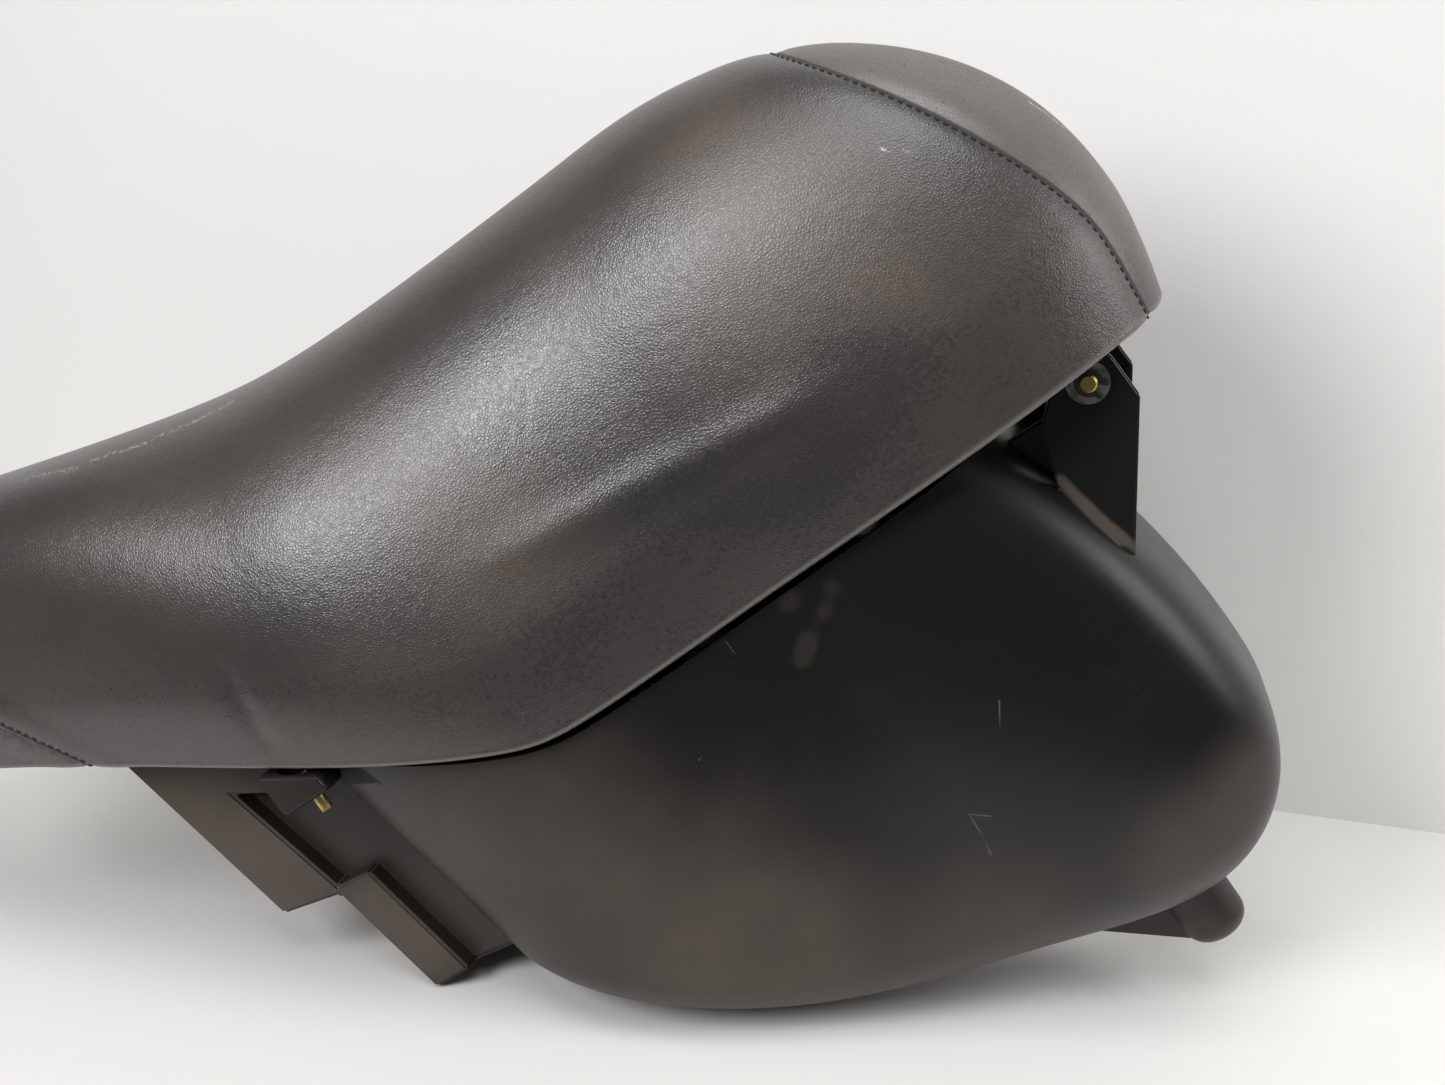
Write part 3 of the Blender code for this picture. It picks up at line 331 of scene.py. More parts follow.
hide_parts("storage_tub")
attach(tub, "tub")


class Value:
    """An output in a material's node tree that takes plain arithmetic."""

    def __init__(self, finish, socket):
        self.finish = finish
        self.socket = socket

    def math(self, operation, first, second):
        return self.finish.node("ShaderNodeMath", {0: first, 1: second}, operation=operation)

    def __add__(self, other):
        return self.math("ADD", self, other)

    def __sub__(self, other):
        return self.math("SUBTRACT", self, other)

    def __rsub__(self, other):
        return self.math("SUBTRACT", other, self)

    def __mul__(self, other):
        return self.math("MULTIPLY", self, other)

    def __truediv__(self, other):
        return self.math("DIVIDE", self, other)

    def __or__(self, other):
        return self.math("MAXIMUM", self, other)

    def __and__(self, other):
        return self.math("MINIMUM", self, other)

    __radd__ = __add__
    __rmul__ = __mul__

    def between(self, low, high):
        """Share that rises smoothly from 0 at low to 1 at high; low may be the larger."""
        return self.finish.node("ShaderNodeMapRange", {"Value": self, "From Min": low, "From Max": high},
                                interpolation_type="SMOOTHSTEP")


class Finish:
    """A material whose shader inputs are fed from nodes in the row frame's coordinates."""

    def __init__(self, name, constants):
        self.material = bpy.data.materials.new(name)
        self.material.use_nodes = True
        self.tree = self.material.node_tree
        self.shader = self.tree.nodes["Principled BSDF"]
        for key, value in constants.items():
            self.shader.inputs[key].default_value = value
        self.place = self.node("ShaderNodeTexCoord", {}, "Object")

    def node(self, kind, inputs, output=0, **settings):
        """Adds one node of any kind and returns one of its outputs."""
        node = self.tree.nodes.new(kind)
        for key, value in settings.items():
            setattr(node, key, value)
        for key, value in inputs.items():
            if isinstance(value, Value):
                self.tree.links.new(value.socket, node.inputs[key])
            else:
                node.inputs[key].default_value = value
        return Value(self, node.outputs[output])

    def noise(self, scale, detail=3.0):
        inputs = {"Vector": self.place, "Scale": scale, "Detail": detail}
        return self.node("ShaderNodeTexNoise", inputs, "Fac")

    def axis(self, name):
        return self.node("ShaderNodeSeparateXYZ", {0: self.place}, name)

    def spot(self, centre, radius, soft=1.0):
        """1 in the middle of a round spot and 0 past its radius, given in millimetres."""
        middle = tuple(0.001 * value for value in centre)
        away = self.node("ShaderNodeVectorMath", {0: self.place, 1: middle}, "Value", operation="DISTANCE")
        return away.between(0.001 * radius, 0.001 * radius * (1 - soft))

    def spots(self, places, soft=1.0):
        total = 0.0
        for *centre, radius in places:
            total = self.spot(centre, radius, soft) + total
        return total & 1.0

    def streak(self, start, end, width):
        """1 along a straight streak between two points and 0 past its width, in millimetres."""
        first, last = 0.001 * Vector(start), 0.001 * Vector(end)
        run = last - first
        away = self.node("ShaderNodeVectorMath", {0: self.place, 1: first}, operation="SUBTRACT")
        share = self.node("ShaderNodeVectorMath", {0: away, 1: run}, "Value", operation="DOT_PRODUCT")
        share = (share / run.length_squared | 0.0) & 1.0
        foot = self.node("ShaderNodeVectorMath", {0: run, "Scale": share}, operation="SCALE")
        gap = self.node("ShaderNodeVectorMath", {0: away, 1: foot}, "Value", operation="DISTANCE")
        return gap.between(0.001 * width, 0)

    def blend(self, share, first, second):
        inputs = {0: share, 6: first, 7: second}
        return self.node("ShaderNodeMix", inputs, 2, data_type="RGBA")

    def feed(self, key, value):
        self.tree.links.new(value.socket, self.shader.inputs[key])

    def relief(self, height):
        """Bump from a height in metres."""
        self.feed("Normal", self.node("ShaderNodeBump", {"Height": height, "Distance": 1.0}))


plastic = Finish("black_polypropylene", {"Specular IOR Level": 0.40})
x, z = plastic.axis("X"), plastic.axis("Z")
cloud = plastic.noise(9, 5)
film = plastic.noise(34, 6)
# Painted reflection of the bright floor, mixed with real dust: the low rear, the underside below z -0.15 and the
# listed zones along the tub's lower side are painted paler brown.
low_rear_dust_and_floor_glow = (x * -1.0 + z * -0.9).between(0.20, 0.42)
under = z.between(-0.15, -0.235)
dust_and_floor_glow_zones = plastic.spots([
    (-296, -111, -29, 70), (-277, -100, -109, 85), (-256, -90, -157, 80), (-169, -68, -190, 60),
    (-72, -63, -202, 50), (-37, -57, -187, 36), (-330, -112, -10, 60)])
# Painted light: only the tray band's near side face is painted paler brown, as a lit face.
tray_face_painted_light = plastic.spots([(-490, -71, 60, 60), (-465, -71, 20, 45), (-425, -71, -40, 45)], 0.6)
tray_face_painted_light = tray_face_painted_light * plastic.axis("Y").between(-0.068, -0.0708)
dust = (low_rear_dust_and_floor_glow * 0.40 + under * 0.25 + dust_and_floor_glow_zones * 0.50 + tray_face_painted_light * 0.8) * (0.30 + cloud)
dust = (dust * (0.62 + film * 0.7)) & 1.0
smears = plastic.spots([
    (-155, -86, -4, 15), (-137, -84, -10, 13), (-158, -85, -24, 12), (-167, -85, -30, 12), (-146, -85, -18, 10)])
smears = (smears + film * 1.2).between(1.10, 1.60)
ear_dust = plastic.streak((-33, -48, -30), (-27, -47, -66), 8) | plastic.streak((-27, -47, -60), (-16, -45, -95), 7)
ear_dust = (ear_dust + film * 0.8).between(0.85, 1.35)
dirt_and_painted_light = (dust * 0.75 | smears * 0.14 | ear_dust * 0.7) & 1.0
hairlines = 0.0
for centre, fine in (((-0.05, -0.08, -0.02), 900.0), ((-0.30, -0.08, -0.20), 700.0)):
    away = plastic.node("ShaderNodeVectorMath", {0: plastic.place, 1: centre}, "Value", operation="DISTANCE")
    rings = plastic.node("ShaderNodeTexNoise", {"W": away * fine, "Detail": 1.0}, "Fac", noise_dimensions="1D")
    hairlines = rings.between(0.70, 0.76) + hairlines
hairlines = hairlines * plastic.noise(17, 4).between(0.52, 0.68)
marks = 0.0
for start, end in (((-147, -76, -132), (-148, -74, -146)), ((-148, -74, -146), (-150, -74, -154)),
                   ((-139, -75, -138), (-147, -76, -132)), ((-172, -81, -90), (-160, -79, -99)),
                   ((-230, -96, -42), (-214, -95, -36)), ((-105, -78, -93), (-112, -77, -104))):
    marks = plastic.streak(start, end, 0.6) + marks
scratches = (hairlines * 0.14 + marks * 0.5) & 1.0
colour = plastic.blend(dirt_and_painted_light, (0.0055, 0.0055, 0.0060, 1), (0.100, 0.078, 0.062, 1))
plastic.feed("Base Color", plastic.blend(scratches, colour, (0.17, 0.15, 0.13, 1)))
plastic.feed("Roughness", 0.27 + film * 0.10 + dirt_and_painted_light * 0.40 + scratches * 0.2)
plastic.relief(film * 0.00006 + plastic.noise(900, 2) * 0.00001)
tub.data.materials.clear()
tub.data.materials.append(plastic.material)


# Lug bolts: M6 flange bolts and washers, yellow passivated zinc on steel, dulled by use.
# They hold the tub to the scooter's frame by its two lugs.
def cad_piece(name, finish):
    """Gives a hard CAD node its finish."""
    obj = nodes[name]
    obj.data.materials.clear()
    obj.data.materials.append(finish.material)
    smooth(obj, 30)


zinc = Finish("yellow_zinc_plating", {"Metallic": 1.0, "Roughness": 0.38})
tarnish = zinc.noise(260, 4).between(0.42, 0.62)
zinc.feed("Base Color", zinc.blend(tarnish, (0.56, 0.40, 0.11, 1), (0.36, 0.30, 0.16, 1)))
zinc.feed("Roughness", 0.28 + tarnish * 0.25)
for side in SIDES:
    cad_piece(f"lug_{side}_bolt", zinc)
    cad_piece(f"lug_{side}_washer", zinc)


# Hinge pin: turned steel rod with yellow zinc, through both ears and the seat's bracket.
# A pressed washer and a spring circlip in a groove hold it at each end.
steel = Finish("dull_steel", {"Metallic": 1.0, "Roughness": 0.45})
stain = steel.noise(180, 5).between(0.40, 0.65)
steel.feed("Base Color", steel.blend(stain, (0.36, 0.37, 0.33, 1), (0.17, 0.16, 0.13, 1)))
steel.feed("Roughness", 0.36 + stain * 0.3)
dark_steel = Finish("blued_spring_steel", {
    "Metallic": 1.0, "Roughness": 0.42, "Base Color": (0.085, 0.083, 0.080, 1)})
cad_piece("hinge_pin", zinc)
for side in SIDES:
    cad_piece(f"hinge_washer_{side}", steel)
    cad_piece(f"hinge_circlip_{side}", dark_steel)


# Hinge bracket: folded 2.5 mm blackened steel, a plate under the pan and two cheeks on the pin.
# Four zinc-plated round-headed screws hold it up to the pan.
cad_piece("hinge_bracket", dark_steel)
for k in range(1, 5):
    cad_piece(f"hinge_screw_{k}", zinc)


# Seat pan: black polypropylene moulding, 3 mm thick, with a flange, a dome and ribs below.
# The foam lies on it and the vinyl is drawn round its flange.
def outline(nose_steps, side_steps, tail_steps):
    """Stations round the seat: edge point, place on the spine, and how far round to the side."""
    right = []
    for k in range(nose_steps):
        turn = eased(0, 0.5 * math.pi, k / nose_steps)
        edge = (SPINE_FRONT + 0.200 * math.cos(turn) ** 0.625, -half_width(SPINE_FRONT) * math.sin(turn) ** 0.625)
        right.append((Vector(edge), SPINE_FRONT, math.sin(turn)))
    for k in range(side_steps + 1):
        x = SPINE_FRONT + (SPINE_REAR - SPINE_FRONT) * k / side_steps
        right.append((Vector((x, -half_width(x))), x, 1.0))
    power = 2 / 2.6
    for k in reversed(range(tail_steps)):
        turn = eased(0, 0.5 * math.pi, k / tail_steps)
        edge = (SPINE_REAR - 0.100 * math.cos(turn) ** power, -half_width(SPINE_REAR) * math.sin(turn) ** power)
        right.append((Vector(edge), SPINE_REAR, 1.0))
    left = [(Vector((edge.x, -edge.y)), spine, side) for edge, spine, side in right[-2:0:-1]]
    return right + left


def place(station, inward, rise):
    """Point inward of the edge, towards the spine, at a height square to the lower edge."""
    edge, spine, _ = station
    middle = Vector((spine, 0))
    plan = edge.lerp(middle, inward / (middle - edge).length)
    return Vector((plan.x, plan.y, over_edge(plan.x, rise)))


def place_at(station, inward, z):
    point = place(station, inward, 0)
    point.z = z
    return point


def loft(name, stations, profile):
    """Surface through one profile at each station, welded where profiles meet."""
    bm = bmesh.new()
    rows = [[bm.verts.new(point) for point in profile(station)] for station in stations]
    for row, following in zip(rows, rows[1:] + rows[:1]):
        for k in range(len(row) - 1):
            bm.faces.new((row[k], following[k], following[k + 1], row[k + 1]))
    bmesh.ops.remove_doubles(bm, verts=bm.verts, dist=1e-5)
    bmesh.ops.dissolve_degenerate(bm, edges=bm.edges, dist=1e-6)
    return mesh_object(name, bm)


def pan_face(station, lift):
    edge, spine, side = station
    flange = 0.0165 + 0.0195 * side ** 5
    depth = (Vector((spine, 0)) - edge).length
    points = [place(station, 0.0129, 0.0019 + lift), place(station, flange - 0.002, 0.0019 + lift)]
    for k in range(9):
        points.append(place(station, flange + 0.014 * k / 8, eased(0.0019, 0.034, k / 8) + lift))
    inward = [flange + 0.018 + (depth - flange - 0.018) * share for share in (0, 0.3, 0.65, 1)]
    return points + [place(station, distance, 0.034 + lift) for distance in inward]


RIB_XS = (-0.150, -0.225, -0.345, -0.430, -0.510)
pan = loft("seat_pan_moulding", outline(36, 72, 28), lambda s: pan_face(s, 0)[::-1] + pan_face(s, 0.003))
ribs = []
for side, sign in SIDES.items():
    xs = [RIB_XS[0] + (RIB_XS[-1] - RIB_XS[0]) * k / 48 for k in range(49)]
    rib = [(x, over_edge(x, 0.0355)) for x in xs] + [(x, over_edge(x, 0.022)) for x in reversed(xs)]
    ribs.append(plate(f"long_rib_{side}", rib, sign * 0.045 - 0.00125, sign * 0.045 + 0.00125))
for k, x in enumerate(RIB_XS):
    half = half_width(x) - 0.050
    ribs.append(block(f"cross_rib_{k}", (-0.00125, -half, 0.022), (0.00125, half, 0.0355), edge_frame(x, 0, 0)))
combine(pan, ribs, "UNION")
holes = []
for row, x in BUFFER_XS.items():
    for side, sign in SIDES.items():
        hole = edge_frame(x, sign * (half_width(x) - 0.0255), 0.0019)
        holes.append(cylinder(f"stem_hole_{row}_{side}", 0.0031, -0.003, 0.009, hole, 24))
for side, sign in SIDES.items():
    for x, y, rise in ((-0.014, 0.022, 0.0311), (-0.046, 0.022, 0.0311), (-0.560, 0.028, 0.0316)):
        holes.append(cylinder("screw_hole", 0.0027, -0.003, 0.009, edge_frame(x, sign * y, rise), 24))
combine(pan, holes, "DIFFERENCE")
even_shading(pan)
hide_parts("seat_pan")
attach(pan, "seat")
underside = Finish("black_pan_plastic", {"Specular IOR Level": 0.45})
grime = underside.noise(14, 6).between(0.42, 0.70)
underside.feed("Base Color", underside.blend(grime, (0.012, 0.012, 0.012, 1), (0.045, 0.038, 0.031, 1)))
underside.feed("Roughness", 0.40 + grime * 0.3)
underside.relief(underside.noise(1200, 2) * 0.00002)
pan.data.materials.clear()
pan.data.materials.append(underside.material)


# Striker: 7 mm steel rod bent to a loop and welded to a plate under the tail of the pan.
# Two zinc-plated screws hold it; the catch on the scooter's frame closes round the loop.
cad_piece("striker", steel)
for side in SIDES:
    cad_piece(f"striker_screw_{side}", zinc)


# Buffers: moulded rubber, pushed into the pan by their stems.
# They carry the seat on the ledges inside the tub's rim.
rubber = Finish("buffer_rubber", {"Base Color": (0.016, 0.016, 0.016, 1), "Roughness": 0.75})
rubber.relief(rubber.noise(700, 3) * 0.00003)
for row in BUFFER_XS:
    for side in SIDES:
        cad_piece(f"buffer_{row}_{side}", rubber)


# Foam cushion: moulded polyurethane foam with a crown for the rider and a step up to the pillion.
# It fills the space between pan and vinyl, so nothing of it shows on a whole seat.
def skin(station, inset, steps):
    """Crowned upper surface, from the crease over the skirt to the spine."""
    edge, spine, side = station
    depth = (Vector((spine, 0)) - edge).length
    crease = edge_z(edge.x) + 0.050 - 0.014 * min(max((-0.279 - edge.x) / 0.351, 0), 1)
    top = 0.215 + math.tan(math.radians(18.0)) * ramp(-0.335 - spine, 0.060)
    square = eased(2.5, 3.8, (-0.335 - spine) / 0.125)
    power = 2 / (2.2 + (square - 2.2) * side)
    points = []
    for k in range(steps + 1):
        turn = eased(0, 0.5 * math.pi, k / steps)
        inward = depth - (depth - inset) * max(0, math.cos(turn)) ** power
        points.append(place_at(station, inward, crease + (top - inset - crease) * math.sin(turn) ** power))
    return points


foam = loft("moulded_foam", outline(28, 56, 22), lambda s: pan_face(s, 0.0034)[::-1] + skin(s, 0.0019, 30))
smooth(foam, 60)
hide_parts("foam_cushion")
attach(foam, "seat")
cells = Finish("polyurethane_foam", {"Base Color": (0.62, 0.53, 0.34, 1), "Roughness": 0.95})
cells.relief(cells.noise(900, 3) * 0.0003)
foam.data.materials.clear()
foam.data.materials.append(cells.material)


# Cover: black-brown grained vinyl in three panels, sewn at the nose and at the tail.
# It is drawn tight over the foam and stapled under the pan; the vinyl is worn and dusty.
def nose_side(point):
    """Distance past the nose seam, positive on the nose panel; the seam's circle counts at the nose only."""
    if point.x < -0.2:
        return point.x
    radial = math.hypot(point.x + 0.331, point.z + 0.059) - 0.389
    straight = 0.9933 * (point.x - 0.0410 - 0.1162 * (point.z - 0.0547))
    gap = radial - straight
    return 0.5 * (radial + straight + math.hypot(gap, 0.008)) - 0.002


def tail_side(point):
    """Distance past the tail seam, positive on the tail panel."""
    angle = math.radians(61)
    return -(point.x + 0.487) * math.sin(angle) - (point.z - 0.117) * math.cos(angle)


def cover_profile(station):
    """Outer face of the vinyl: lip under the pan, rolled edge, drawn-in skirt and crown."""
    points = [place(station, inward, 0) for inward in (0.016, 0.0135)]
    points += [place(station, 0.011 - 0.003 * math.sin(a), 0.003 - 0.003 * math.cos(a))
               for a in (0.25 * math.pi * k / 4 for k in range(9))]
    crown = skin(station, 0, 78)
    low, high = points[-1].z, crown[0].z
    for k in range(1, 22):
        share = k / 22
        points.append(place_at(station, 0.008 * (1 - share) ** 1.5, low + (high - low) * share))
    return points + crown


def cut(bm, field):
    """Splits the faces along the line where the field is nil; returns the points on the line."""
    value = {v: field(v.co) for v in bm.verts}
    fresh = []
    for edge in list(bm.edges):
        first, last = edge.verts
        a, b = value[first], value[last]
        if a * b < 0:
            _, point = bmesh.utils.edge_split(edge, first, a / (a - b))
            fresh.append(point)
    on_line = set(fresh)
    for face in list(bm.faces):
        crossing = [v for v in face.verts if v in on_line]
        if len(crossing) == 2:
            bmesh.utils.face_split(face, *crossing)
    return fresh


shell = loft("cover_shell", outline(84, 132, 62), cover_profile)
bm = bmesh.new()
bm.from_mesh(shell.data)
bpy.data.objects.remove(shell)
away = bm.verts.layers.float.new("seam_gap")
rise = bm.verts.layers.float.new("edge_rise")
seams = {"nose": cut(bm, nose_side), "tail": cut(bm, tail_side)}
bm.normal_update()
fold = [Vector((-0.376, -0.133, 0.1195)), Vector((-0.378, -0.133, 0.0985)), Vector((-0.3838, -0.128, 0.0773))]


def segment_gap(point, first, last):
    run = last - first
    share = min(max((point - first).dot(run) / run.length_squared, 0), 1)
    return (point - first - run * share).length


def drawn(point):
    """How far the vinyl stands out from the smooth form, in metres."""
    out = 0.0
    for away in (nose_side(point), tail_side(point)):
        out += 0.0005 * math.exp(-((abs(away) - 0.008) / 0.006) ** 2) - 0.0009 * math.exp(-(away / 0.0017) ** 2)
    shoulder = edge_z(point.x) + 0.071 + 0.15 * (-0.170 - point.x)
    along = eased(0, 1, (point.x + 0.270) / 0.060) * eased(1, 0, (point.x + 0.120) / 0.060)
    out += 0.0016 * along * math.exp(-((point.z - shoulder) / 0.009) ** 2)
    gap = min(segment_gap(point, a, b) for a, b in zip(fold, fold[1:]))
    return out - 0.0011 * math.exp(-(gap / 0.006) ** 2)


moves = {v: v.normal * drawn(v.co) for v in bm.verts}
for v in bm.verts:
    near = min((nose_side(v.co), tail_side(v.co)), key=abs)
    v[away] = near
    v[rise] = v.co.z - edge_z(v.co.x)
panels = {"main": [], "nose": [], "tail": []}
for face in bm.faces:
    middle = face.calc_center_median()
    panels["nose" if nose_side(middle) > 0 else "tail" if tail_side(middle) > 0 else "main"].append(face)


def seam_route(points):
    """The points on a seam in order, from its right end to its left end."""
    left = set(points)

    def following(v):
        return [e.other_vert(v) for e in v.link_edges if e.other_vert(v) in left]

    start = min((v for v in points if len(following(v)) == 1), key=lambda v: v.co.y)
    route = [start]
    while route:
        left.discard(route[-1])
        onward = following(route[-1])
        if not onward:
            return route
        route.append(onward[0])


routes = {name: [(v.co.copy(), v.normal.copy()) for v in seam_route(points)] for name, points in seams.items()}
for v, move in moves.items():
    v.co += move


def cover_panel(name, faces, node):
    piece = bmesh.new()
    gap = piece.verts.layers.float.new("seam_gap")
    height = piece.verts.layers.float.new("edge_rise")
    made = {}
    for face in faces:
        for v in face.verts:
            if v not in made:
                made[v] = piece.verts.new(v.co)
                made[v][gap] = v[away]
                made[v][height] = v[rise]
        piece.faces.new([made[v] for v in face.verts])
    obj = mesh_object(name, piece)
    if sum(face.normal.dot(face.center - Vector((-0.25, 0, 0.09))) for face in obj.data.polygons) < 0:
        obj.data.flip_normals()
    thick = obj.modifiers.new("thickness", "SOLIDIFY")
    thick.thickness = 0.0015
    thick.offset = -1
    settle(obj)
    smooth(obj, 60)
    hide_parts(node)
    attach(obj, "seat")
    return obj


main_panel = cover_panel("main_vinyl", panels["main"], "cover_main")
nose_panel = cover_panel("nose_vinyl", panels["nose"], "cover_nose_panel")
tail_panel = cover_panel("tail_vinyl", panels["tail"], "cover_tail_panel")
bm.free()


def vinyl(name, base, worn, dusty, gloss, grain, creases=()):
    """Grained vinyl: base colour, darker worn spots with painted shade over the skirt, brown dust in the grain and
    a painted highlight along the lower edge.
    """
    look = Finish(name, {"Specular IOR Level": 0.85})
    bent = look.node("ShaderNodeTexNoise", {"Vector": look.place, "Scale": 260.0}, "Color")
    bent = look.node("ShaderNodeVectorMath", {0: bent, "Scale": 0.0012}, operation="SCALE")
    bent = look.node("ShaderNodeVectorMath", {0: look.place, 1: bent})
    cracks = look.node("ShaderNodeTexVoronoi", {"Vector": bent, "Scale": 720.0}, "Distance",
                       feature="DISTANCE_TO_EDGE")
    pebble = cracks.between(0.0, 0.34)
    fine = look.noise(480, 3)
    cloud = look.noise(30, 6)
    rise = look.node("ShaderNodeAttribute", {}, "Fac", attribute_name="edge_rise")
    skirt = rise.between(0.074, 0.046)
    # Painted shade: the skirt term darkens the upright skirt below the shoulder crease; the worn spots and the
    # noise are wear.
    wear_and_skirt_shade = look.spots(worn) * 0.55 + (cloud - 0.5) * 1.5 + (fine - 0.5) * 1.7 + skirt * 0.42
    wear_and_skirt_shade = wear_and_skirt_shade.between(0.35, 0.80)
    dust = look.noise(6, 4).between(0.36, 0.70) * 0.45 + look.spots(dusty) * 0.65
    dust = (dust * (0.35 + cloud) * (0.55 + fine)) & 1.0
    colour = look.blend(dust, base, (0.092, 0.066, 0.049, 1))
    colour = look.blend(wear_and_skirt_shade * 0.55, colour, (0.016, 0.017, 0.019, 1))
    pits = cracks.between(0.09, 0.0) * (0.25 + 0.5 * cloud)
    colour = look.blend(pits * (1.0 - skirt * 0.7), colour, (0.013, 0.012, 0.012, 1))
    colour = look.blend(pits * skirt * 0.5, colour, (0.085, 0.060, 0.042, 1))
    # Painted highlight: a paler line along the rolled lower edge, where it catches the light.
    hem_highlight = rise.between(0.0036, 0.0012) * 0.55
    colour = look.blend(hem_highlight, colour, (0.20, 0.185, 0.165, 1))
    gap = look.node("ShaderNodeAttribute", {}, "Fac", attribute_name="seam_gap")
    gap = look.node("ShaderNodeMath", {0: gap}, operation="ABSOLUTE")
    groove = gap.between(0.0010, 0.0002)
    colour = look.blend(groove * 0.85, colour, (0.006, 0.006, 0.006, 1))
    look.feed("Roughness", gloss + dust * 0.16 - wear_and_skirt_shade * 0.05 + pits * 0.25 + groove * 0.3)
    relief = pebble * grain + look.noise(110, 4) * 0.00024 + groove * -0.0003
    for first, last in creases:
        relief = relief - look.streak(first, last, 4.0) * (cloud.between(0.40, 0.65) * 0.00016)
    look.relief(relief)
    return look, colour


def dress(obj, look, colour):
    look.feed("Base Color", colour)
    obj.data.materials.clear()
    obj.data.materials.append(look.material)


main_look, colour = vinyl("grained_vinyl", (0.033, 0.030, 0.028, 1), [
    (-213, -103, 135, 34), (-214, -105, 125, 30), (-197, -94, 153, 36), (-65, -100, 60, 42), (-122, -99, 37, 46),
    (-175, -104, 73, 40), (-89, -101, 61, 42), (-140, -102, 60, 40)], [
    (-51, -91, 133, 60), (-74, -74, 178, 55), (-87, -98, 109, 60), (-31, -94, 90, 50),
    (-240, -110, 90, 60)], 0.30, 0.00006, [
    ((-222, -105, 122), (-200, -95, 152)), ((-212, -106, 122), (-196, -98, 145)),
    ((-231, -104, 128), (-212, -95, 155)), ((-205, -104, 120), (-190, -97, 140))])
specks = (main_look.streak((-13.6, -83.6, 130.6), (-11.4, -83.3, 128.2), 1.3)
          | main_look.streak((-6.6, -82.8, 124.6), (-5.0, -82.4, 122.6), 1.1))
specks = specks * main_look.noise(700, 4).between(0.44, 0.60)
scuffs = (main_look.streak((-439, -78, 245), (-410, -83, 233), 5)
          | main_look.streak((-402, -78, 232), (-374, -74, 223), 4)
          | main_look.streak((-370, -70, 223), (-333, -62, 216), 4))
scuffs = scuffs * main_look.noise(520, 5).between(0.46, 0.66)
colour = main_look.blend(specks | scuffs * 0.4, colour, (0.62, 0.60, 0.56, 1))
dress(main_panel, main_look, colour)
# The nose panel's paler base colour is partly its own smoother vinyl and partly painted sheen, where it faces the
# light at a grazing angle.
nose_look_with_sheen, colour = vinyl("smooth_nose_vinyl_painted_sheen", (0.115, 0.104, 0.095, 1), [(40, -50, 15, 26)], [
    (0, -20, 170, 70), (30, -20, 110, 60)], 0.40, 0.00002)
scrape = nose_look_with_sheen.streak((43, -34, 112), (49, -26, 96), 2.4) * nose_look_with_sheen.noise(500, 3).between(0.40, 0.56)
dress(nose_panel, nose_look_with_sheen, nose_look_with_sheen.blend(scrape, colour, (0.55, 0.53, 0.50, 1)))
tail_look, colour = vinyl("tail_vinyl", (0.075, 0.073, 0.070, 1), [(-500, 0, 60, 50)], [
    (-560, 0, 200, 90)], 0.42, 0.00003)
dress(tail_panel, tail_look, colour)


# Stitches: black bonded thread in a row beside each seam, about four millimetres a stitch.
# They hold the panels' turned edges and lie in the vinyl's grain.
def stitch_row(name, route, pitch, beside):
    """Thread along a seam, instanced at an even pitch and then made plain mesh."""
    bm = bmesh.new()
    points = []
    for k, (point, normal) in enumerate(route):
        run = route[min(k + 1, len(route) - 1)][0] - route[max(k - 1, 0)][0]
        aside = run.normalized().cross(normal) * beside
        points.append(bm.verts.new(point + aside + normal * (drawn(point + aside) + 0.0002)))
    for pair in zip(points, points[1:]):
        bm.edges.new(pair)
    mesh = bpy.data.meshes.new(name)
    bm.to_mesh(mesh)
    bm.free()
    obj = bpy.data.objects.new(name, mesh)
    bpy.context.scene.collection.objects.link(obj)
    tree = bpy.data.node_groups.new(f"{name}_stitches", "GeometryNodeTree")
    tree.interface.new_socket("Geometry", in_out="INPUT", socket_type="NodeSocketGeometry")
    sockets = {"Pitch": pitch, "Thread": 0.00045, "Stitch": 0.0028}
    keys = {title: tree.interface.new_socket(title, in_out="INPUT", socket_type="NodeSocketFloat").identifier
            for title in sockets}
    tree.interface.new_socket("Geometry", in_out="OUTPUT", socket_type="NodeSocketGeometry")

    def add(kind, links, **settings):
        node = tree.nodes.new(kind)
        for key, value in settings.items():
            setattr(node, key, value)
        for key, value in links.items():
            if isinstance(value, bpy.types.NodeSocket):
                tree.links.new(value, node.inputs[key])
            else:
                node.inputs[key].default_value = value
        return node.outputs

    given = add("NodeGroupInput", {})
    curve = add("GeometryNodeMeshToCurve", {"Mesh": given["Geometry"]})["Curve"]
    spaced = add("GeometryNodeResampleCurve", {"Curve": curve, "Length": given["Pitch"]}, mode="LENGTH")["Curve"]
    tangent = add("GeometryNodeInputTangent", {})["Tangent"]
    turn = add("FunctionNodeAlignRotationToVector", {"Vector": tangent}, axis="X")["Rotation"]
    bead = add("GeometryNodeMeshUVSphere", {"Segments": 10, "Rings": 8, "Radius": 1.0})["Mesh"]
    half = add("ShaderNodeMath", {0: given["Stitch"], 1: 0.5}, operation="MULTIPLY")[0]
    size = add("ShaderNodeCombineXYZ", {"X": half, "Y": given["Thread"], "Z": given["Thread"]})[0]
    row = add("GeometryNodeInstanceOnPoints", {
        "Points": spaced, "Instance": bead, "Rotation": turn, "Scale": size})["Instances"]
    plain = add("GeometryNodeRealizeInstances", {"Geometry": row})["Geometry"]
    done = add("GeometryNodeSetMaterial", {"Geometry": plain, "Material": thread.material})["Geometry"]
    add("NodeGroupOutput", {"Geometry": done})
    modifier = obj.modifiers.new("stitches", "NODES")
    modifier.node_group = tree
    for title, value in sockets.items():
        modifier[keys[title]] = value
    settle(obj)
    obj.data.shade_smooth()
    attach(obj, "seat")


thread = Finish("black_thread", {"Base Color": (0.010, 0.010, 0.010, 1), "Roughness": 0.7})
stitch_row("nose_stitches", routes["nose"], 0.0042, -0.0018)
stitch_row("tail_stitches", routes["tail"], 0.0042, 0.0021)


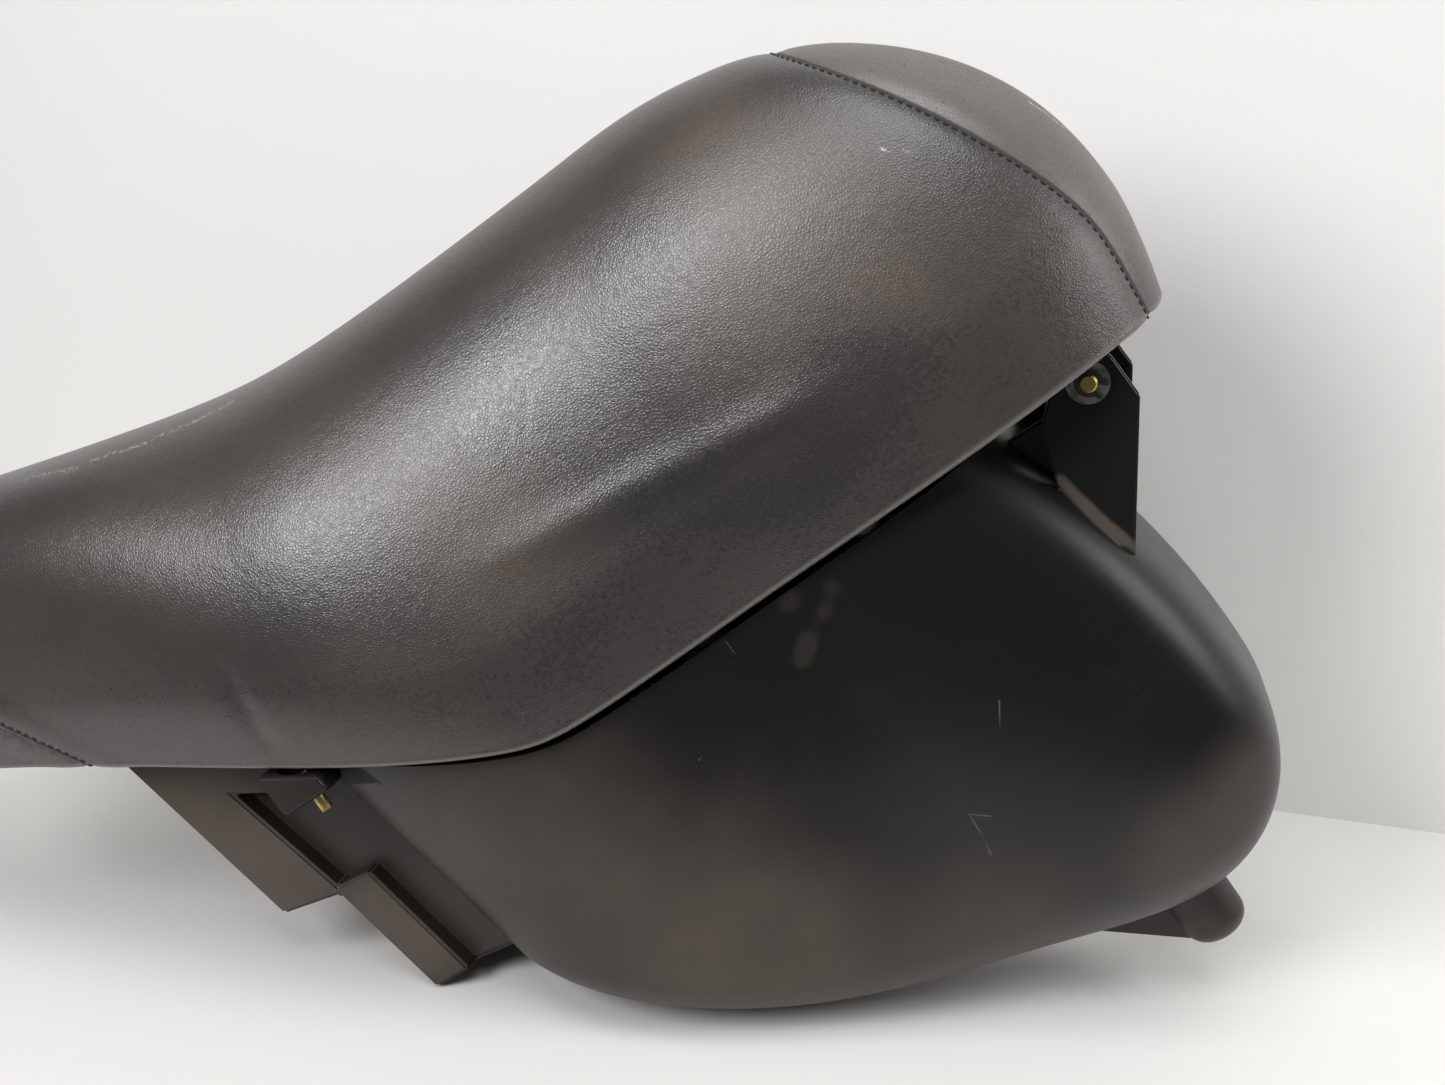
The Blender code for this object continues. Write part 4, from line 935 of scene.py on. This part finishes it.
# Stage: a plain pale floor and wall, each seen from its front only, under soft studio light.
# The seat lies nose up on the floor, on the rear of its tub, as in the photograph.
LEAN = math.radians(36)
TURN = math.radians(12)
DOWN = math.radians(15)
up = Vector((math.sin(LEAN), 0, math.cos(LEAN)))
ahead = Vector((math.cos(LEAN), 0, -math.sin(LEAN)))
left = Vector((0, 1, 0))
pale = Finish("pale_paint", {"Roughness": 0.85})
pale.feed("Base Color", pale.blend(pale.noise(3, 3), (0.86, 0.85, 0.83, 1), (0.82, 0.81, 0.79, 1)))
back_facing = pale.node("ShaderNodeNewGeometry", {}, "Backfacing")
clear = pale.node("ShaderNodeBsdfTransparent", {})
paint = Value(pale, pale.shader.outputs[0])
shown = pale.node("ShaderNodeMixShader", {0: back_facing, 1: paint, 2: clear})
pale.tree.links.new(shown.socket, pale.tree.nodes["Material Output"].inputs["Surface"])


def backdrop(name, middle, first, second, half_first, half_second):
    """One-sided rectangle whose front faces along first x second."""
    bm = bmesh.new()
    corners = [(-1, -1), (1, -1), (1, 1), (-1, 1)]
    bm.faces.new([bm.verts.new(middle + first * (a * half_first) + second * (b * half_second)) for a, b in corners])
    mesh = bpy.data.meshes.new(name)
    bm.to_mesh(mesh)
    bm.free()
    mesh.materials.append(pale.material)
    obj = bpy.data.objects.new(name, mesh)
    bpy.context.scene.collection.objects.link(obj)
    obj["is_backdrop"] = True


floor_level = -0.3162
wall_turn = math.radians(-7.86)
wall_run = ahead * math.cos(wall_turn) + left * math.sin(wall_turn)
wall_out = wall_run.cross(up)
corner = wall_out * -0.2581 + up * floor_level
near = 0.60
backdrop("floor", corner + wall_out * (0.5 * near) - wall_run * 0.2, wall_run, up.cross(wall_run), 2.5, 0.5 * near)
backdrop("wall", corner + up * 1.2 - wall_run * 0.2, wall_run, up, 2.5, 1.2)

camera = bpy.data.objects.new("photo_camera", bpy.data.cameras.new("photo_camera"))
camera.data.sensor_width = 36
camera.data.lens = 36 * 1600 / 1445
level_right = ahead * math.cos(TURN) + left * math.sin(TURN)
level_back = ahead * math.sin(TURN) - left * math.cos(TURN)
aim = Matrix((level_right, up, level_back)).transposed() @ Matrix.Rotation(-DOWN, 3, "X")
camera.matrix_world = Matrix.Translation((0.0559, -0.7482, 0.0971)) @ aim.to_4x4()
bpy.context.scene.collection.objects.link(camera)
bpy.context.scene.camera = camera


def soft_light(name, place, target, size, watts):
    lamp = bpy.data.lights.new(name, "AREA")
    lamp.shape = "DISK"
    lamp.size = size
    lamp.energy = watts
    obj = bpy.data.objects.new(name, lamp)
    toward = target - place
    obj.matrix_world = Matrix.Translation(place) @ toward.to_track_quat("-Z", "Y").to_matrix().to_4x4()
    obj.visible_camera = False
    bpy.context.scene.collection.objects.link(obj)


middle = Vector((-0.20, 0, 0.05))
for name, aside, above, front, size, watts in (
        ("window", -0.90, 0.72, 1.09, 0.75, 18),
        ("side", 1.25, 0.58, 0.52, 0.7, 5),
        ("ceiling", 0.0, 1.38, 0.80, 1.2, 15)):
    soft_light(name, middle + level_right * aside + up * above + level_back * front, middle, size, watts)
world = bpy.data.worlds.new("studio")
world.use_nodes = True
bpy.context.scene.world = world
sky = world.node_tree.nodes["Background"]
sky.inputs["Color"].default_value = (0.94, 0.96, 1.0, 1)
sky.inputs["Strength"].default_value = 0.12
bpy.context.scene.view_settings.view_transform = "Standard"

low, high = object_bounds()
size = {"cad": [list(corner) for corner in cad_bounds], "visual": [list(low), list(high)]}
